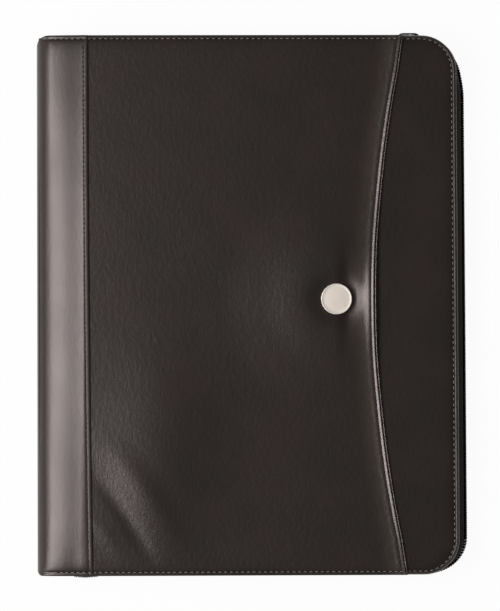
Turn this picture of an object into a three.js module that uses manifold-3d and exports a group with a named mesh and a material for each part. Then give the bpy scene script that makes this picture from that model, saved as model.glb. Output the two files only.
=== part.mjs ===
// A conference folder for A4 paper, in leather, closed by a zip round its foot, fore-edge and head.
// Millimetres, +Z up. The closed folder lies on its back cover: X runs from the spine to the fore-edge,
// Y from the foot to the head, and Z from the table up through the front cover.
import * as THREE from "three";
import { mergeVertices } from "three/addons/utils/BufferGeometryUtils.js";
import Module from "manifold-3d";

const wasm = await Module();
wasm.setup();

// Writing pad, round which the covers are cut
const PAD_WIDTH = 210;
const PAD_LENGTH = 297;
const PAD_CARD = 0.8;
const PAD_PAPER = 4.5;
const PAD_X = 28.5; // spine face to the pad
const FORE_MARGIN = 11.1; // pad to the covers' edges
const FOOT_MARGIN = 12;
const HEAD_MARGIN = 10;
const BINDING = 0.3;
const BINDING_REACH = 14;

// Covers
const COVER_WIDTH = PAD_X + PAD_WIDTH + FORE_MARGIN; // spine face to fore-edge
const COVER_LENGTH = FOOT_MARGIN + PAD_LENGTH + HEAD_MARGIN;
const HALF = COVER_LENGTH / 2;
const FORE_CORNER_R = 21;
const EDGE_ROUND = 1.5;
const INSIDE = 12.6; // clear height between the two linings

// Layers of a cover, from the outside in
const LEATHER = 1.2;
const FOAM = 1.4;
const BOARD = 1.4;
const LINING = 0.5;
const GLUE = 0.1; // glue line between two layers
const EDGE_WALL = 1.6; // leather rolled round the edge of the foam
const TURN_IN = 0.7; // skived leather turned over the foam
const TURN_IN_REACH = 9.4;
const LINING_INSET = 1.5;
const FIT = 0.3; // gap between pieces that lie or slide beside each other
const FOAM_FIT = 0.2;

// Spine strip
const STRIP = 1.2;
const FOLD_R = 7; // outer radius of the strip's two folds
const SPINE_END_R = 7; // rounding of the strip's ends, seen from the front
const STRIP_REACH_HEAD = 30.6; // spine face to the strip's sewn edge, at the head
const STRIP_REACH_FOOT = 33.2;
const STRIP_BEAD = 0.45; // how far the strip's turned edge stands proud
const STRIP_BEAD_WIDTH = 1.8;
const STRIP_EDGE_STEPS = 6;
const SHELL_START = 8; // spine face to the covers' leather, under the strip
const BOARD_START = 10;
const LINING_START = 6;
const FOAM_MARGIN = 1; // between the strip's sewn edge and the foam
const SPINE_BOARD = 1.4;
const SPINE_BOARD_MARGIN = 6; // from the strip's ends to the spine board
const SPINE_LINING_MARGIN = 5;

// Outside pocket on the front cover
const POCKET_LINING = 0.6;
const POCKET_LEATHER = 1.2;
const POCKET_START = 9; // spine face to the pocket's edge, under the strip
const MOUTH_R = 700;
const MOUTH_X = COVER_WIDTH - 51.9; // nearest point of the mouth to the spine
const MOUTH_Y = 4;
const MOUTH_BEAD = 0.4;
const FACING_PROUD = 0.9; // the facing shows as a thin line past the mouth
const POCKET_COLUMNS = 14;
const POCKET_ROWS = 20;
const FACING_COLUMNS = 6;

// Magnetic snap behind the round cap
const SNAP_X = MOUTH_X - 20.8;
const SNAP_Y = 3.4;
const CAP_R = 9.1;
const CAP_HEIGHT = 1.7;
const CAP_RIM = 1.1;
const CAP_FIELD = 1; // height of the plain field inside the rim
const CAP_CROWN = 1.3; // height of the cap's middle
const STUD_R = 2;
const SNAP_R = 8.8;
const SNAP_PROUD = 0.5; // the lower half stands this far out of the leather
const SNAP_GAP = 0.2;
const MALE_DISC = 0.9;
const NUB_R = 2.9;
const NUB_LENGTH = 1.3;
const WASHER = 0.4;
const WASHER_BORE_R = 3.4;
const PLATEAU_R = 19; // the leather lies flat over the snap out to here
const SWELL_R = 70; // and falls back to the cover by here

// Zip
const ZIP_START = 15; // spine face to the ends of the tapes
const ZIP_STOP_X = 27; // spine face to the stops
const STOP_LENGTH = 2.5;
const TAPE = 0.6;
const TAPE_FLANGE = 9.2;
const TAPE_EXIT = 0.9; // how far inside the cover's edge the tape comes out
const TAPE_TUCK = 0.85; // how far below the lining the tape turns up where the zip draws in
const TAPE_DROP = 2.3; // and where it bulges
const COIL_WIDTH = 2.6;
const COIL_DEPTH = 2.2;
const COIL_SEAT = 0.2;
const ZIP_AT_START = 1.4; // how far the coil stands past the covers' edge, from the foot stop on
const ZIP_AT_FOOT = 0.3;
const ZIP_AT_FORE_FOOT = 5.2;
const ZIP_AT_FORE_HEAD = 4.1;
const ZIP_AT_HEAD = -1.8;
const ZIP_SETTLES = 14; // length over which the coil draws in from the foot stop
const CLOSED_GAP = 0.15; // half the gap between the coils
const OPEN_GAP = 0.9;
const SWELL_BEFORE_HEAD = 16; // the zip draws in over this stretch of the fore-edge
const SWELL_INTO_HEAD = 24;

// Slider and pull
const SLIDER_X = COVER_WIDTH - 28.7;
const SLIDER_LENGTH = 14.5;
const SLIDER_PLATE = 1.1;
const OUTER_PLATE = 1;
const RAIL = 0.9;
const POST = 1.2;
const POST_LENGTH = 2.4;
const BRIDGE_LENGTH = 13;
const BRIDGE_WIDTH = 2.4;
const BRIDGE_RISE = 2.7;
const BRIDGE_LEG = 1.4;
const BRIDGE_TOP = 0.8;
const PULL = 1.1;
const PULL_LENGTH = 24;
const PULL_HALF_WIDTH = 3.4;
const PULL_EYE_HALF = 1.7;
const PULL_EYE_FIT = 0.75; // eye's end to the bridge's leg
const PULL_WAIST = 4.5; // eye's end to the narrowest part
const PULL_BAR = 0.55; // half the depth of the bar that turns under the bridge

// Inside the folder
const PANEL_INSET = 6; // covers' edges to the panels inside
const SLOT_PANEL = 0.6;
const SLOT_HEIGHT = 133.5; // the slot panel covers the pad's card from the foot up to here
const SLOT_MARGIN = 3;
const POCKET_PLY = 0.6;
const PLY_STEP = 0.1;
const DOCUMENT_START = 26;
const DOCUMENT_HEIGHT = 175.5;
const DOCUMENT_SLANT = 26; // how much lower its mouth is at the fore-edge
const CARD_POCKETS = 3;
const CARD_WIDTH = 96;
const CARD_HEIGHT = 56;
const CARD_STEP = 15;
const CARD_FORE_MARGIN = 21.6; // card pockets to the covers' edges
const CARD_HEAD_MARGIN = 33.5;
const CARD_CORNER_R = 1.5;
const LOOP_R = 5.5;
const LOOP_WALL = 0.8;
const LOOP_LENGTH = 32;
const LOOP_X = 16.5;
const LOOP_HEAD_MARGIN = 87.5; // pen loop to the cover's head
const LOOP_TAB = 0.6;
const LOOP_TAB_REACH = 10;

// Heights that follow from the layers
const FOAM_DEPTH = LEATHER + GLUE;
const TURN_IN_DEPTH = FOAM_DEPTH + FOAM + GLUE;
const SHELL_DEPTH = TURN_IN_DEPTH + TURN_IN;
const LINING_DEPTH = TURN_IN_DEPTH + BOARD + GLUE;
const COVER_DEPTH = LINING_DEPTH + LINING;
const MID = COVER_DEPTH + INSIDE / 2;
const FRONT_FACE = 2 * MID;
const FACING_Z = FRONT_FACE + GLUE;
const POCKET_Z = FACING_Z + POCKET_LINING + GLUE;
const POCKET_TOP = POCKET_Z + POCKET_LEATHER;
const FOLDER_TOP = POCKET_TOP + GLUE + STRIP;
const SWELL = SNAP_PROUD + SNAP_GAP + MALE_DISC;
const FOAM_START = STRIP_REACH_FOOT + FOAM_MARGIN;
const PAST = 1; // a cutting body runs this far past what it cuts

const COLOURS = {
  leather: { color: 0x2c2723, roughness: 0.42, metalness: 0 },
  lining: { color: 0x1c1b1c, roughness: 0.85, metalness: 0 },
  board: { color: 0x8b8274, roughness: 0.9, metalness: 0 },
  foam: { color: 0x55524e, roughness: 0.95, metalness: 0 },
  tape: { color: 0x1a1817, roughness: 0.9, metalness: 0 },
  coil: { color: 0x24201d, roughness: 0.45, metalness: 0 },
  nickel: { color: 0xcfc8bf, roughness: 0.32, metalness: 1 },
  steel: { color: 0x9a9893, roughness: 0.35, metalness: 1 },
  zipMetal: { color: 0x2b2927, roughness: 0.35, metalness: 0.6 },
  paper: { color: 0xf2efe6, roughness: 0.9, metalness: 0 },
  card: { color: 0xa8977c, roughness: 0.9, metalness: 0 },
  binding: { color: 0x2a2c33, roughness: 0.7, metalness: 0 },
  elastic: { color: 0x1b1a1a, roughness: 0.9, metalness: 0 },
};

const folder = new THREE.Group();

function addPiece(name, finish, geometry, parent = folder) {
  geometry.computeVertexNormals();
  const piece = new THREE.Mesh(geometry, new THREE.MeshStandardMaterial(COLOURS[finish]));
  piece.name = name;
  parent.add(piece);
  return piece;
}

// Booleans
function toSolid(geometry) {
  const bare = new THREE.BufferGeometry();
  bare.setAttribute("position", geometry.getAttribute("position"));
  if (geometry.index) bare.setIndex(geometry.index);
  const merged = mergeVertices(bare, 1e-4);
  const vertProperties = new Float32Array(merged.getAttribute("position").array);
  const triVerts = new Uint32Array(merged.index.array);
  return new wasm.Manifold(new wasm.Mesh({ numProp: 3, vertProperties, triVerts }));
}

function toGeometry(solid) {
  const mesh = solid.getMesh();
  const geometry = new THREE.BufferGeometry();
  geometry.setAttribute("position", new THREE.BufferAttribute(new Float32Array(mesh.vertProperties), 3));
  geometry.setIndex(new THREE.BufferAttribute(new Uint32Array(mesh.triVerts), 1));
  return geometry;
}

function join(...geometries) {
  return toGeometry(geometries.map(toSolid).reduce((whole, next) => whole.add(next)));
}

function cut(geometry, ...tools) {
  return toGeometry(tools.map(toSolid).reduce((left, tool) => left.subtract(tool), toSolid(geometry)));
}

function common(first, second) {
  return toGeometry(toSolid(first).intersect(toSolid(second)));
}

// Basic forms
function plate(shape, low, high, curveSegments = 8) {
  const options = { depth: high - low, bevelEnabled: false, curveSegments };
  return new THREE.ExtrudeGeometry(shape, options).translate(0, 0, low);
}

function roundedPlate(shape, low, high, round, bevelSegments = 3, curveSegments = 8) {
  const options = {
    depth: high - low - 2 * round,
    bevelThickness: round,
    bevelSize: round,
    bevelOffset: -round,
    bevelSegments,
    curveSegments,
  };
  return new THREE.ExtrudeGeometry(shape, options).translate(0, 0, low + round);
}

// Extrudes a profile drawn in X and Z along Y.
function alongY(shape, low, high, curveSegments = 8) {
  const options = { depth: high - low, bevelEnabled: false, curveSegments };
  return new THREE.ExtrudeGeometry(shape, options).rotateX(Math.PI / 2).translate(0, high, 0);
}

function box(x0, x1, y0, y1, z0, z1) {
  const centre = [(x0 + x1) / 2, (y0 + y1) / 2, (z0 + z1) / 2];
  return new THREE.BoxGeometry(x1 - x0, y1 - y0, z1 - z0).translate(...centre);
}

function rectangle(x0, x1, y0, y1, radius = 0) {
  const shape = new THREE.Shape();
  shape.moveTo(x0 + radius, y0);
  shape.lineTo(x1 - radius, y0);
  if (radius) shape.absarc(x1 - radius, y0 + radius, radius, -Math.PI / 2, 0);
  shape.lineTo(x1, y1 - radius);
  if (radius) shape.absarc(x1 - radius, y1 - radius, radius, 0, Math.PI / 2);
  shape.lineTo(x0 + radius, y1);
  if (radius) shape.absarc(x0 + radius, y1 - radius, radius, Math.PI / 2, Math.PI);
  shape.lineTo(x0, y0 + radius);
  if (radius) shape.absarc(x0 + radius, y0 + radius, radius, Math.PI, 1.5 * Math.PI);
  return shape;
}

// A round piece about the Z axis at x, y, from a profile of [radius, height] pairs.
function turned(profile, x, y, z, segments = 32) {
  const points = profile.map(([radius, height]) => new THREE.Vector2(radius, height));
  return new THREE.LatheGeometry(points, segments).rotateX(Math.PI / 2).translate(x, y, z);
}

function cylinder(radius, x, y, low, high, segments = 24) {
  const centre = (low + high) / 2;
  return new THREE.CylinderGeometry(radius, radius, high - low, segments)
    .rotateX(Math.PI / 2)
    .translate(x, y, centre);
}

// Turns a geometry over from the back cover to the front cover, and keeps its faces pointing out.
function toFront(geometry) {
  const flat = geometry.index ? geometry.toNonIndexed() : geometry;
  const turnedOver = flat.clone().applyMatrix4(new THREE.Matrix4().makeScale(1, 1, -1));
  turnedOver.translate(0, 0, FRONT_FACE);
  const { array } = turnedOver.getAttribute("position");
  for (let i = 0; i < array.length; i += 9) {
    for (let k = 0; k < 3; k += 1) {
      [array[i + 3 + k], array[i + 6 + k]] = [array[i + 6 + k], array[i + 3 + k]];
    }
  }
  return turnedOver;
}

// Joins rings of points into one closed body. In each ring, point i faces the i-th point from its end.
function loft(rings) {
  const size = rings[0].length;
  const positions = rings.flat().flatMap((p) => [p.x, p.y, p.z]);
  const index = [];
  for (let r = 0; r + 1 < rings.length; r += 1) {
    for (let i = 0; i < size; i += 1) {
      const a = r * size + i;
      const b = r * size + ((i + 1) % size);
      index.push(a, b, b + size, a, b + size, a + size);
    }
  }
  const last = (rings.length - 1) * size;
  for (let i = 0; i < size / 2 - 1; i += 1) {
    const j = size - 1 - i;
    index.push(i, j, i + 1, i + 1, j, j - 1);
    index.push(last + i, last + i + 1, last + j, last + i + 1, last + j - 1, last + j);
  }
  const geometry = new THREE.BufferGeometry();
  geometry.setAttribute("position", new THREE.Float32BufferAttribute(positions, 3));
  geometry.setIndex(index);
  return geometry;
}

// A thin solid over a grid: at(i, j) gives { x, y, low, high }.
function quilt(columns, rows, at) {
  const across = columns + 1;
  const count = across * (rows + 1);
  const low = [];
  const high = [];
  for (let j = 0; j <= rows; j += 1) {
    for (let i = 0; i <= columns; i += 1) {
      const p = at(i, j);
      low.push(p.x, p.y, p.low);
      high.push(p.x, p.y, p.high);
    }
  }
  const index = [];
  const wall = (a, b) => index.push(a, b, b + count, a, b + count, a + count);
  for (let j = 0; j < rows; j += 1) {
    for (let i = 0; i < columns; i += 1) {
      const a = j * across + i;
      const [b, c, d] = [a + 1, a + across + 1, a + across];
      index.push(a, c, b, a, d, c);
      index.push(count + a, count + b, count + c, count + a, count + c, count + d);
    }
    wall(j * across + columns, (j + 1) * across + columns);
    wall((j + 1) * across, j * across);
  }
  for (let i = 0; i < columns; i += 1) {
    wall(i, i + 1);
    wall(rows * across + i + 1, rows * across + i);
  }
  const geometry = new THREE.BufferGeometry();
  geometry.setAttribute("position", new THREE.Float32BufferAttribute([...low, ...high], 3));
  geometry.setIndex(index);
  return geometry;
}

// Covers
function coverPlan(inset, start) {
  const fore = COVER_WIDTH - inset;
  const half = HALF - inset;
  const radius = FORE_CORNER_R - inset;
  const shape = new THREE.Shape();
  shape.moveTo(start, -half);
  shape.lineTo(fore - radius, -half);
  shape.absarc(fore - radius, radius - half, radius, -Math.PI / 2, 0);
  shape.absarc(fore - radius, half - radius, radius, 0, Math.PI / 2);
  shape.lineTo(start, half);
  return shape;
}

// The sewn edge of the spine strip, which stands a little further out at the foot than at the head.
function stripEdge(y) {
  const share = 0.5 - y / COVER_LENGTH;
  return STRIP_REACH_HEAD + (STRIP_REACH_FOOT - STRIP_REACH_HEAD) * share * share;
}

function stripPlan(allowance = 0) {
  const reach = HALF + PAST;
  const shape = new THREE.Shape();
  shape.moveTo(-PAST, -reach);
  for (let i = 0; i <= STRIP_EDGE_STEPS; i += 1) {
    const y = -reach + (2 * reach * i) / STRIP_EDGE_STEPS;
    shape.lineTo(stripEdge(y) + allowance, y);
  }
  shape.lineTo(-PAST, reach);
  return shape;
}

function coverShell() {
  const shell = roundedPlate(coverPlan(0, SHELL_START), 0, SHELL_DEPTH, EDGE_ROUND);
  const foamSpace = plate(coverPlan(EDGE_WALL, FOAM_START - FOAM_FIT), LEATHER, TURN_IN_DEPTH);
  const boardPlan = coverPlan(TURN_IN_REACH, SHELL_START - PAST);
  const boardSpace = plate(boardPlan, TURN_IN_DEPTH - GLUE, SHELL_DEPTH + PAST);
  return cut(shell, foamSpace, boardSpace);
}

function backLeather() {
  const rebate = plate(stripPlan(FIT), -PAST, STRIP + GLUE);
  return cut(coverShell(), rebate);
}

function snapHole() {
  const foot = FRONT_FACE - TURN_IN_DEPTH;
  return cylinder(SNAP_R + FIT, SNAP_X, SNAP_Y, foot, FRONT_FACE + PAST, 32);
}

function frontLeather() {
  return cut(toFront(coverShell()), snapHole());
}

function foamSheet() {
  const low = FOAM_DEPTH;
  return plate(coverPlan(EDGE_WALL + FOAM_FIT, FOAM_START), low, low + FOAM);
}

function boardSheet() {
  return plate(coverPlan(TURN_IN_REACH + GLUE, BOARD_START), TURN_IN_DEPTH, TURN_IN_DEPTH + BOARD);
}

function liningSheet() {
  return plate(coverPlan(LINING_INSET, LINING_START), LINING_DEPTH, COVER_DEPTH);
}

// Spine strip: a flange on each cover and a back between them, which part on the diagonal of each fold
const FOLD_SHARE = Math.PI / 4 - FIT / 2 / FOLD_R;

function stripEnds() {
  const plan = rectangle(0, COVER_WIDTH, -HALF, HALF, SPINE_END_R);
  return plate(plan, -PAST, FOLDER_TOP + PAST);
}

function stripFlange() {
  const profile = new THREE.Shape();
  const down = 1.5 * Math.PI;
  const outer = stripEdge(-HALF) + PAST;
  profile.moveTo(outer, 0);
  profile.lineTo(outer, STRIP);
  profile.absarc(FOLD_R, FOLD_R, FOLD_R - STRIP, down, down - FOLD_SHARE, true);
  profile.absarc(FOLD_R, FOLD_R, FOLD_R, down - FOLD_SHARE, down, false);
  const sheet = common(alongY(profile, -HALF, HALF), stripEnds());
  return common(sheet, plate(stripPlan(), -PAST, FOLD_R));
}

function stripBead() {
  const rings = [];
  for (let i = 0; i <= STRIP_EDGE_STEPS; i += 1) {
    const y = -HALF + (COVER_LENGTH * i) / STRIP_EDGE_STEPS;
    const edge = stripEdge(y);
    const ring = [
      [edge, GLUE],
      [edge, -STRIP_BEAD * 0.6],
      [edge - STRIP_BEAD_WIDTH * 0.3, -STRIP_BEAD],
      [edge - STRIP_BEAD_WIDTH * 0.7, -STRIP_BEAD],
      [edge - STRIP_BEAD_WIDTH, -STRIP_BEAD * 0.4],
      [edge - STRIP_BEAD_WIDTH, GLUE],
    ];
    rings.push(ring.map(([x, z]) => new THREE.Vector3(x, y, z)));
  }
  return loft(rings);
}

function frontStrip() {
  const lifted = join(stripFlange(), stripBead());
  return toFront(lifted).translate(0, 0, FOLDER_TOP - FRONT_FACE);
}

function spineStrip() {
  const profile = new THREE.Shape();
  const left = Math.PI;
  const upper = FOLDER_TOP - FOLD_R;
  profile.absarc(FOLD_R, FOLD_R, FOLD_R, left, left + FOLD_SHARE, false);
  profile.absarc(FOLD_R, FOLD_R, FOLD_R - STRIP, left + FOLD_SHARE, left, true);
  profile.absarc(FOLD_R, upper, FOLD_R - STRIP, left, left - FOLD_SHARE, true);
  profile.absarc(FOLD_R, upper, FOLD_R, left - FOLD_SHARE, left, false);
  return common(alongY(profile, -HALF, HALF), stripEnds());
}

function spineBoard() {
  const reach = HALF - SPINE_BOARD_MARGIN;
  const face = STRIP + GLUE;
  return box(face, face + SPINE_BOARD, -reach, reach, FOLD_R + FIT, FOLDER_TOP - FOLD_R - FIT);
}

function spineLining() {
  const reach = HALF - SPINE_LINING_MARGIN;
  const face = STRIP + GLUE + SPINE_BOARD + GLUE;
  const gap = 2 * FIT;
  return box(face, face + LINING, -reach, reach, COVER_DEPTH + gap, FRONT_FACE - COVER_DEPTH - gap);
}

// Outside pocket
function mouthAt(y) {
  const offset = y - MOUTH_Y;
  return MOUTH_X + MOUTH_R - Math.sqrt(MOUTH_R * MOUTH_R - offset * offset);
}

function swellAt(x, y) {
  const radius = Math.hypot(x - SNAP_X, y - SNAP_Y);
  return SWELL * (1 - THREE.MathUtils.smoothstep(radius, PLATEAU_R, SWELL_R));
}

function pocketPoint(i, j) {
  const y = -HALF + (COVER_LENGTH * j) / POCKET_ROWS;
  const share = (i / POCKET_COLUMNS) ** 2;
  const mouth = mouthAt(y);
  const x = mouth - (mouth - POCKET_START) * share;
  return { x, y, swell: swellAt(x, y) };
}

function pocketLayer(first, last, low, high, shiftX) {
  return quilt(last - first, POCKET_ROWS, (i, j) => {
    const column = last - i;
    const point = pocketPoint(column, j);
    const shift = shiftX(column);
    return {
      x: point.x + shift,
      y: point.y,
      low: low + point.swell,
      high: high + point.swell + (high === POCKET_TOP && column <= 1 ? MOUTH_BEAD : 0),
    };
  });
}

function studHole() {
  return cylinder(STUD_R + GLUE, SNAP_X, SNAP_Y, FRONT_FACE, FOLDER_TOP + SWELL);
}

function pocketPanel() {
  return cut(pocketLayer(0, POCKET_COLUMNS, POCKET_Z, POCKET_TOP, () => 0), studHole());
}

function pocketFacing() {
  const high = FACING_Z + POCKET_LINING;
  const shift = (column) => (column === 0 ? FACING_PROUD : 0);
  return cut(pocketLayer(0, FACING_COLUMNS, FACING_Z, high, shift), studHole());
}

function pocketLiningSheet() {
  const high = FACING_Z + POCKET_LINING;
  const shift = (column) => (column === FACING_COLUMNS ? -FIT : 0);
  return pocketLayer(FACING_COLUMNS, POCKET_COLUMNS, FACING_Z, high, shift);
}

// Magnetic snap
function snapCap() {
  const foot = POCKET_TOP + SWELL + GLUE;
  const stud = POCKET_TOP - FACING_Z + GLUE;
  const field = CAP_R - CAP_RIM;
  const profile = [
    [0, -stud],
    [STUD_R, -stud],
    [STUD_R, 0],
    [CAP_R, 0],
    [CAP_R, CAP_HEIGHT - 0.8],
    [CAP_R - 0.3, CAP_HEIGHT - 0.2],
    [CAP_R - 0.6, CAP_HEIGHT],
    [field, CAP_HEIGHT - 0.25],
    [field - 0.4, CAP_FIELD],
    [field * 0.5, (CAP_FIELD + 2 * CAP_CROWN) / 3],
    [0, CAP_CROWN],
  ];
  return turned(profile, SNAP_X, SNAP_Y, foot, 36);
}

function snapMale() {
  const top = FACING_Z + SWELL - GLUE;
  const foot = top - MALE_DISC + GLUE;
  const profile = [
    [0, -NUB_LENGTH],
    [NUB_R - 0.4, -NUB_LENGTH],
    [NUB_R, -NUB_LENGTH + 0.4],
    [NUB_R, 0],
    [SNAP_R - 0.5, 0],
    [SNAP_R - 0.2, 0.3],
    [SNAP_R - 0.2, top - foot],
    [0, top - foot],
  ];
  return turned(profile, SNAP_X, SNAP_Y, foot);
}

function snapFemale() {
  const foot = FRONT_FACE - TURN_IN_DEPTH + 2 * GLUE + WASHER;
  const height = FRONT_FACE + SNAP_PROUD - foot;
  const recess = NUB_LENGTH + 2 * GLUE;
  const profile = [
    [0, 0],
    [SNAP_R, 0],
    [SNAP_R, height - 0.4],
    [SNAP_R - 0.4, height],
    [NUB_R + 0.6, height],
    [NUB_R + FIT, height - 0.3],
    [NUB_R + FIT, height - recess],
    [0, height - recess],
  ];
  return turned(profile, SNAP_X, SNAP_Y, foot);
}

function snapWasher() {
  const foot = FRONT_FACE - TURN_IN_DEPTH + GLUE;
  const profile = [
    [WASHER_BORE_R, 0],
    [SNAP_R, 0],
    [SNAP_R, WASHER],
    [WASHER_BORE_R, WASHER],
    [WASHER_BORE_R, 0],
  ];
  return turned(profile, SNAP_X, SNAP_Y, foot);
}

// Zip: distances along the covers' edge, from the tapes' ends at the foot round to the head
const AFTER_STOP = ZIP_STOP_X + STOP_LENGTH - ZIP_START;
const STRAIGHT = COVER_WIDTH - FORE_CORNER_R - ZIP_START;
const CORNER = (Math.PI / 2) * FORE_CORNER_R;
const FORE_STRAIGHT = COVER_LENGTH - 2 * FORE_CORNER_R;
const FORE_START = STRAIGHT + CORNER;
const HEAD_CORNER = FORE_START + FORE_STRAIGHT;
const HEAD_START = HEAD_CORNER + CORNER;
const ZIP_LENGTH = HEAD_START + STRAIGHT;

function onEdge(distance) {
  const cx = COVER_WIDTH - FORE_CORNER_R;
  const cy = HALF - FORE_CORNER_R;
  if (distance <= STRAIGHT) return { x: ZIP_START + distance, y: -HALF, nx: 0, ny: -1 };
  if (distance <= FORE_START) return onCorner(cx, -cy, (distance - FORE_START) / FORE_CORNER_R);
  if (distance <= HEAD_CORNER) return { x: COVER_WIDTH, y: distance - FORE_START - cy, nx: 1, ny: 0 };
  if (distance <= HEAD_START) return onCorner(cx, cy, (distance - HEAD_CORNER) / FORE_CORNER_R);
  return { x: cx - (distance - HEAD_START), y: HALF, nx: 0, ny: 1 };
}

function onCorner(cx, cy, angle) {
  const [nx, ny] = [Math.cos(angle), Math.sin(angle)];
  return { x: cx + FORE_CORNER_R * nx, y: cy + FORE_CORNER_R * ny, nx, ny };
}

function headDistance(x) {
  return HEAD_START + COVER_WIDTH - FORE_CORNER_R - x;
}

// How far the coil's outer face stands past the covers' edge
function coilReach(distance) {
  const { lerp, smoothstep } = THREE.MathUtils;
  const drawnIn = smoothstep(distance, AFTER_STOP, AFTER_STOP + ZIP_SETTLES);
  const toFore = smoothstep(distance, STRAIGHT, FORE_START);
  const alongFore = THREE.MathUtils.clamp((distance - FORE_START) / FORE_STRAIGHT, 0, 1);
  const swellEnds = HEAD_CORNER + SWELL_INTO_HEAD;
  const toHead = smoothstep(distance, HEAD_CORNER - SWELL_BEFORE_HEAD, swellEnds);
  const foot = lerp(ZIP_AT_START, ZIP_AT_FOOT, drawnIn);
  const fore = lerp(ZIP_AT_FORE_FOOT, ZIP_AT_FORE_HEAD, alongFore);
  return lerp(lerp(foot, fore, toFore), ZIP_AT_HEAD, toHead);
}

// Half the gap between the two coils: they mesh up to the slider, and part past its post
const MESHED = headDistance(SLIDER_X + SLIDER_LENGTH * 0.4);
const PARTED = headDistance(SLIDER_X - SLIDER_LENGTH * 0.15);

function coilGap(distance) {
  const share = THREE.MathUtils.smoothstep(distance, MESHED, PARTED);
  return THREE.MathUtils.lerp(CLOSED_GAP, OPEN_GAP, share);
}

function zipStations(from, to) {
  const marks = [
    [0, AFTER_STOP, 1],
    [AFTER_STOP, AFTER_STOP + ZIP_SETTLES, 4],
    [AFTER_STOP + ZIP_SETTLES, STRAIGHT, 2],
    [STRAIGHT, FORE_START, 8],
    [FORE_START, HEAD_CORNER - SWELL_BEFORE_HEAD, 4],
    [HEAD_CORNER - SWELL_BEFORE_HEAD, HEAD_CORNER, 4],
    [HEAD_CORNER, HEAD_START, 8],
    [HEAD_START, MESHED, 1],
    [MESHED, PARTED, 4],
    [PARTED, ZIP_LENGTH, 3],
  ];
  const inner = marks.flatMap(([start, end, steps]) =>
    Array.from({ length: steps }, (_, i) => start + ((end - start) * i) / steps),
  );
  return [from, ...inner.filter((distance) => distance > from + 1 && distance < to - 1), to];
}

function atStation(distance, points) {
  const edge = onEdge(distance);
  return points.map(([out, z]) => new THREE.Vector3(edge.x + edge.nx * out, edge.y + edge.ny * out, z));
}

// Both sides of a thin ribbon about its middle line, given as points in one plane
function ribbon(middle, thickness) {
  const sides = middle.map((point, i) => {
    const before = middle[Math.max(i - 1, 0)];
    const after = middle[Math.min(i + 1, middle.length - 1)];
    const along = new THREE.Vector2(after[0] - before[0], after[1] - before[1]).normalize();
    const half = thickness / 2;
    return [
      [point[0] - along.y * half, point[1] + along.x * half],
      [point[0] + along.y * half, point[1] - along.x * half],
    ];
  });
  return [...sides.map((pair) => pair[0]), ...sides.map((pair) => pair[1]).reverse()];
}

function tapeSection(distance) {
  const face = coilReach(distance) - COIL_DEPTH - COIL_SEAT - TAPE / 2;
  const flange = TURN_IN_DEPTH + TURN_IN + GLUE / 2 + TAPE / 2;
  const bulge = THREE.MathUtils.inverseLerp(ZIP_AT_HEAD, ZIP_AT_FORE_FOOT, coilReach(distance));
  const drop = THREE.MathUtils.lerp(TAPE_TUCK, TAPE_DROP, bulge);
  const middle = [
    [-TAPE_FLANGE, flange],
    [-TAPE_EXIT - TAPE, flange],
    [-TAPE_EXIT + TAPE / 2, COVER_DEPTH + FIT / 2],
    [(face - TAPE_EXIT) / 2, COVER_DEPTH + FIT + drop * 0.3],
    [face, COVER_DEPTH + FIT + drop],
    [face, MID - coilGap(distance)],
  ];
  return atStation(distance, ribbon(middle, TAPE));
}

function zipTape() {
  return loft(zipStations(0, ZIP_LENGTH).map(tapeSection));
}

function coilSection(distance) {
  const outer = coilReach(distance);
  const inner = outer - COIL_DEPTH;
  const high = MID - coilGap(distance);
  const low = high - COIL_WIDTH;
  const soft = COIL_DEPTH * 0.3;
  return atStation(distance, [
    [inner, high - soft / 2],
    [inner + soft / 2, high],
    [outer - soft / 2, high],
    [outer, high - soft / 2],
    [outer, low + soft],
    [outer - soft, low],
    [inner + soft, low],
    [inner, low + soft],
  ]);
}

function zipCoil() {
  const start = ZIP_STOP_X + STOP_LENGTH + FIT;
  return loft(zipStations(start - ZIP_START, headDistance(start)).map(coilSection));
}

// A stop on the coils' path at the foot, or at the head, from z to z
function zipStop(head, low, high) {
  const reach = head ? ZIP_AT_HEAD : ZIP_AT_START;
  const outer = (HALF + reach) * (head ? 1 : -1);
  const inner = outer - COIL_DEPTH * (head ? 1 : -1);
  const [y0, y1] = [Math.min(inner, outer), Math.max(inner, outer)];
  const block = rectangle(ZIP_STOP_X, ZIP_STOP_X + STOP_LENGTH, y0, y1, COIL_DEPTH * 0.25);
  return roundedPlate(block, low, high, 0.3, 1, 3);
}

// Slider: two plates joined by the post that parts the coils, with rails that hold them and a bridge
const CHAIN_FACE = HALF + ZIP_AT_HEAD;
const OUTER_FOOT = CHAIN_FACE + FIT;
const OUTER_FACE = OUTER_FOOT + OUTER_PLATE;
const TAPE_FACE = CHAIN_FACE - COIL_DEPTH - COIL_SEAT;
const INNER_TOP = TAPE_FACE - TAPE - FIT;
const RAIL_Z = OPEN_GAP + COIL_WIDTH + FIT;
const SLIDER_HALF = RAIL_Z + RAIL;

function sliderPlate(low, high) {
  const half = SLIDER_LENGTH / 2;
  const shape = new THREE.Shape();
  shape.moveTo(-half, -SLIDER_HALF * 0.55);
  shape.quadraticCurveTo(-half + 0.4, -SLIDER_HALF, -half + 3, -SLIDER_HALF);
  shape.lineTo(half - 2.2, -SLIDER_HALF);
  shape.quadraticCurveTo(half, -SLIDER_HALF, half, -SLIDER_HALF * 0.7);
  shape.lineTo(half, SLIDER_HALF * 0.7);
  shape.quadraticCurveTo(half, SLIDER_HALF, half - 2.2, SLIDER_HALF);
  shape.lineTo(-half + 3, SLIDER_HALF);
  shape.quadraticCurveTo(-half + 0.4, SLIDER_HALF, -half, SLIDER_HALF * 0.55);
  return alongY(shape, low, high, 5);
}

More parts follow.
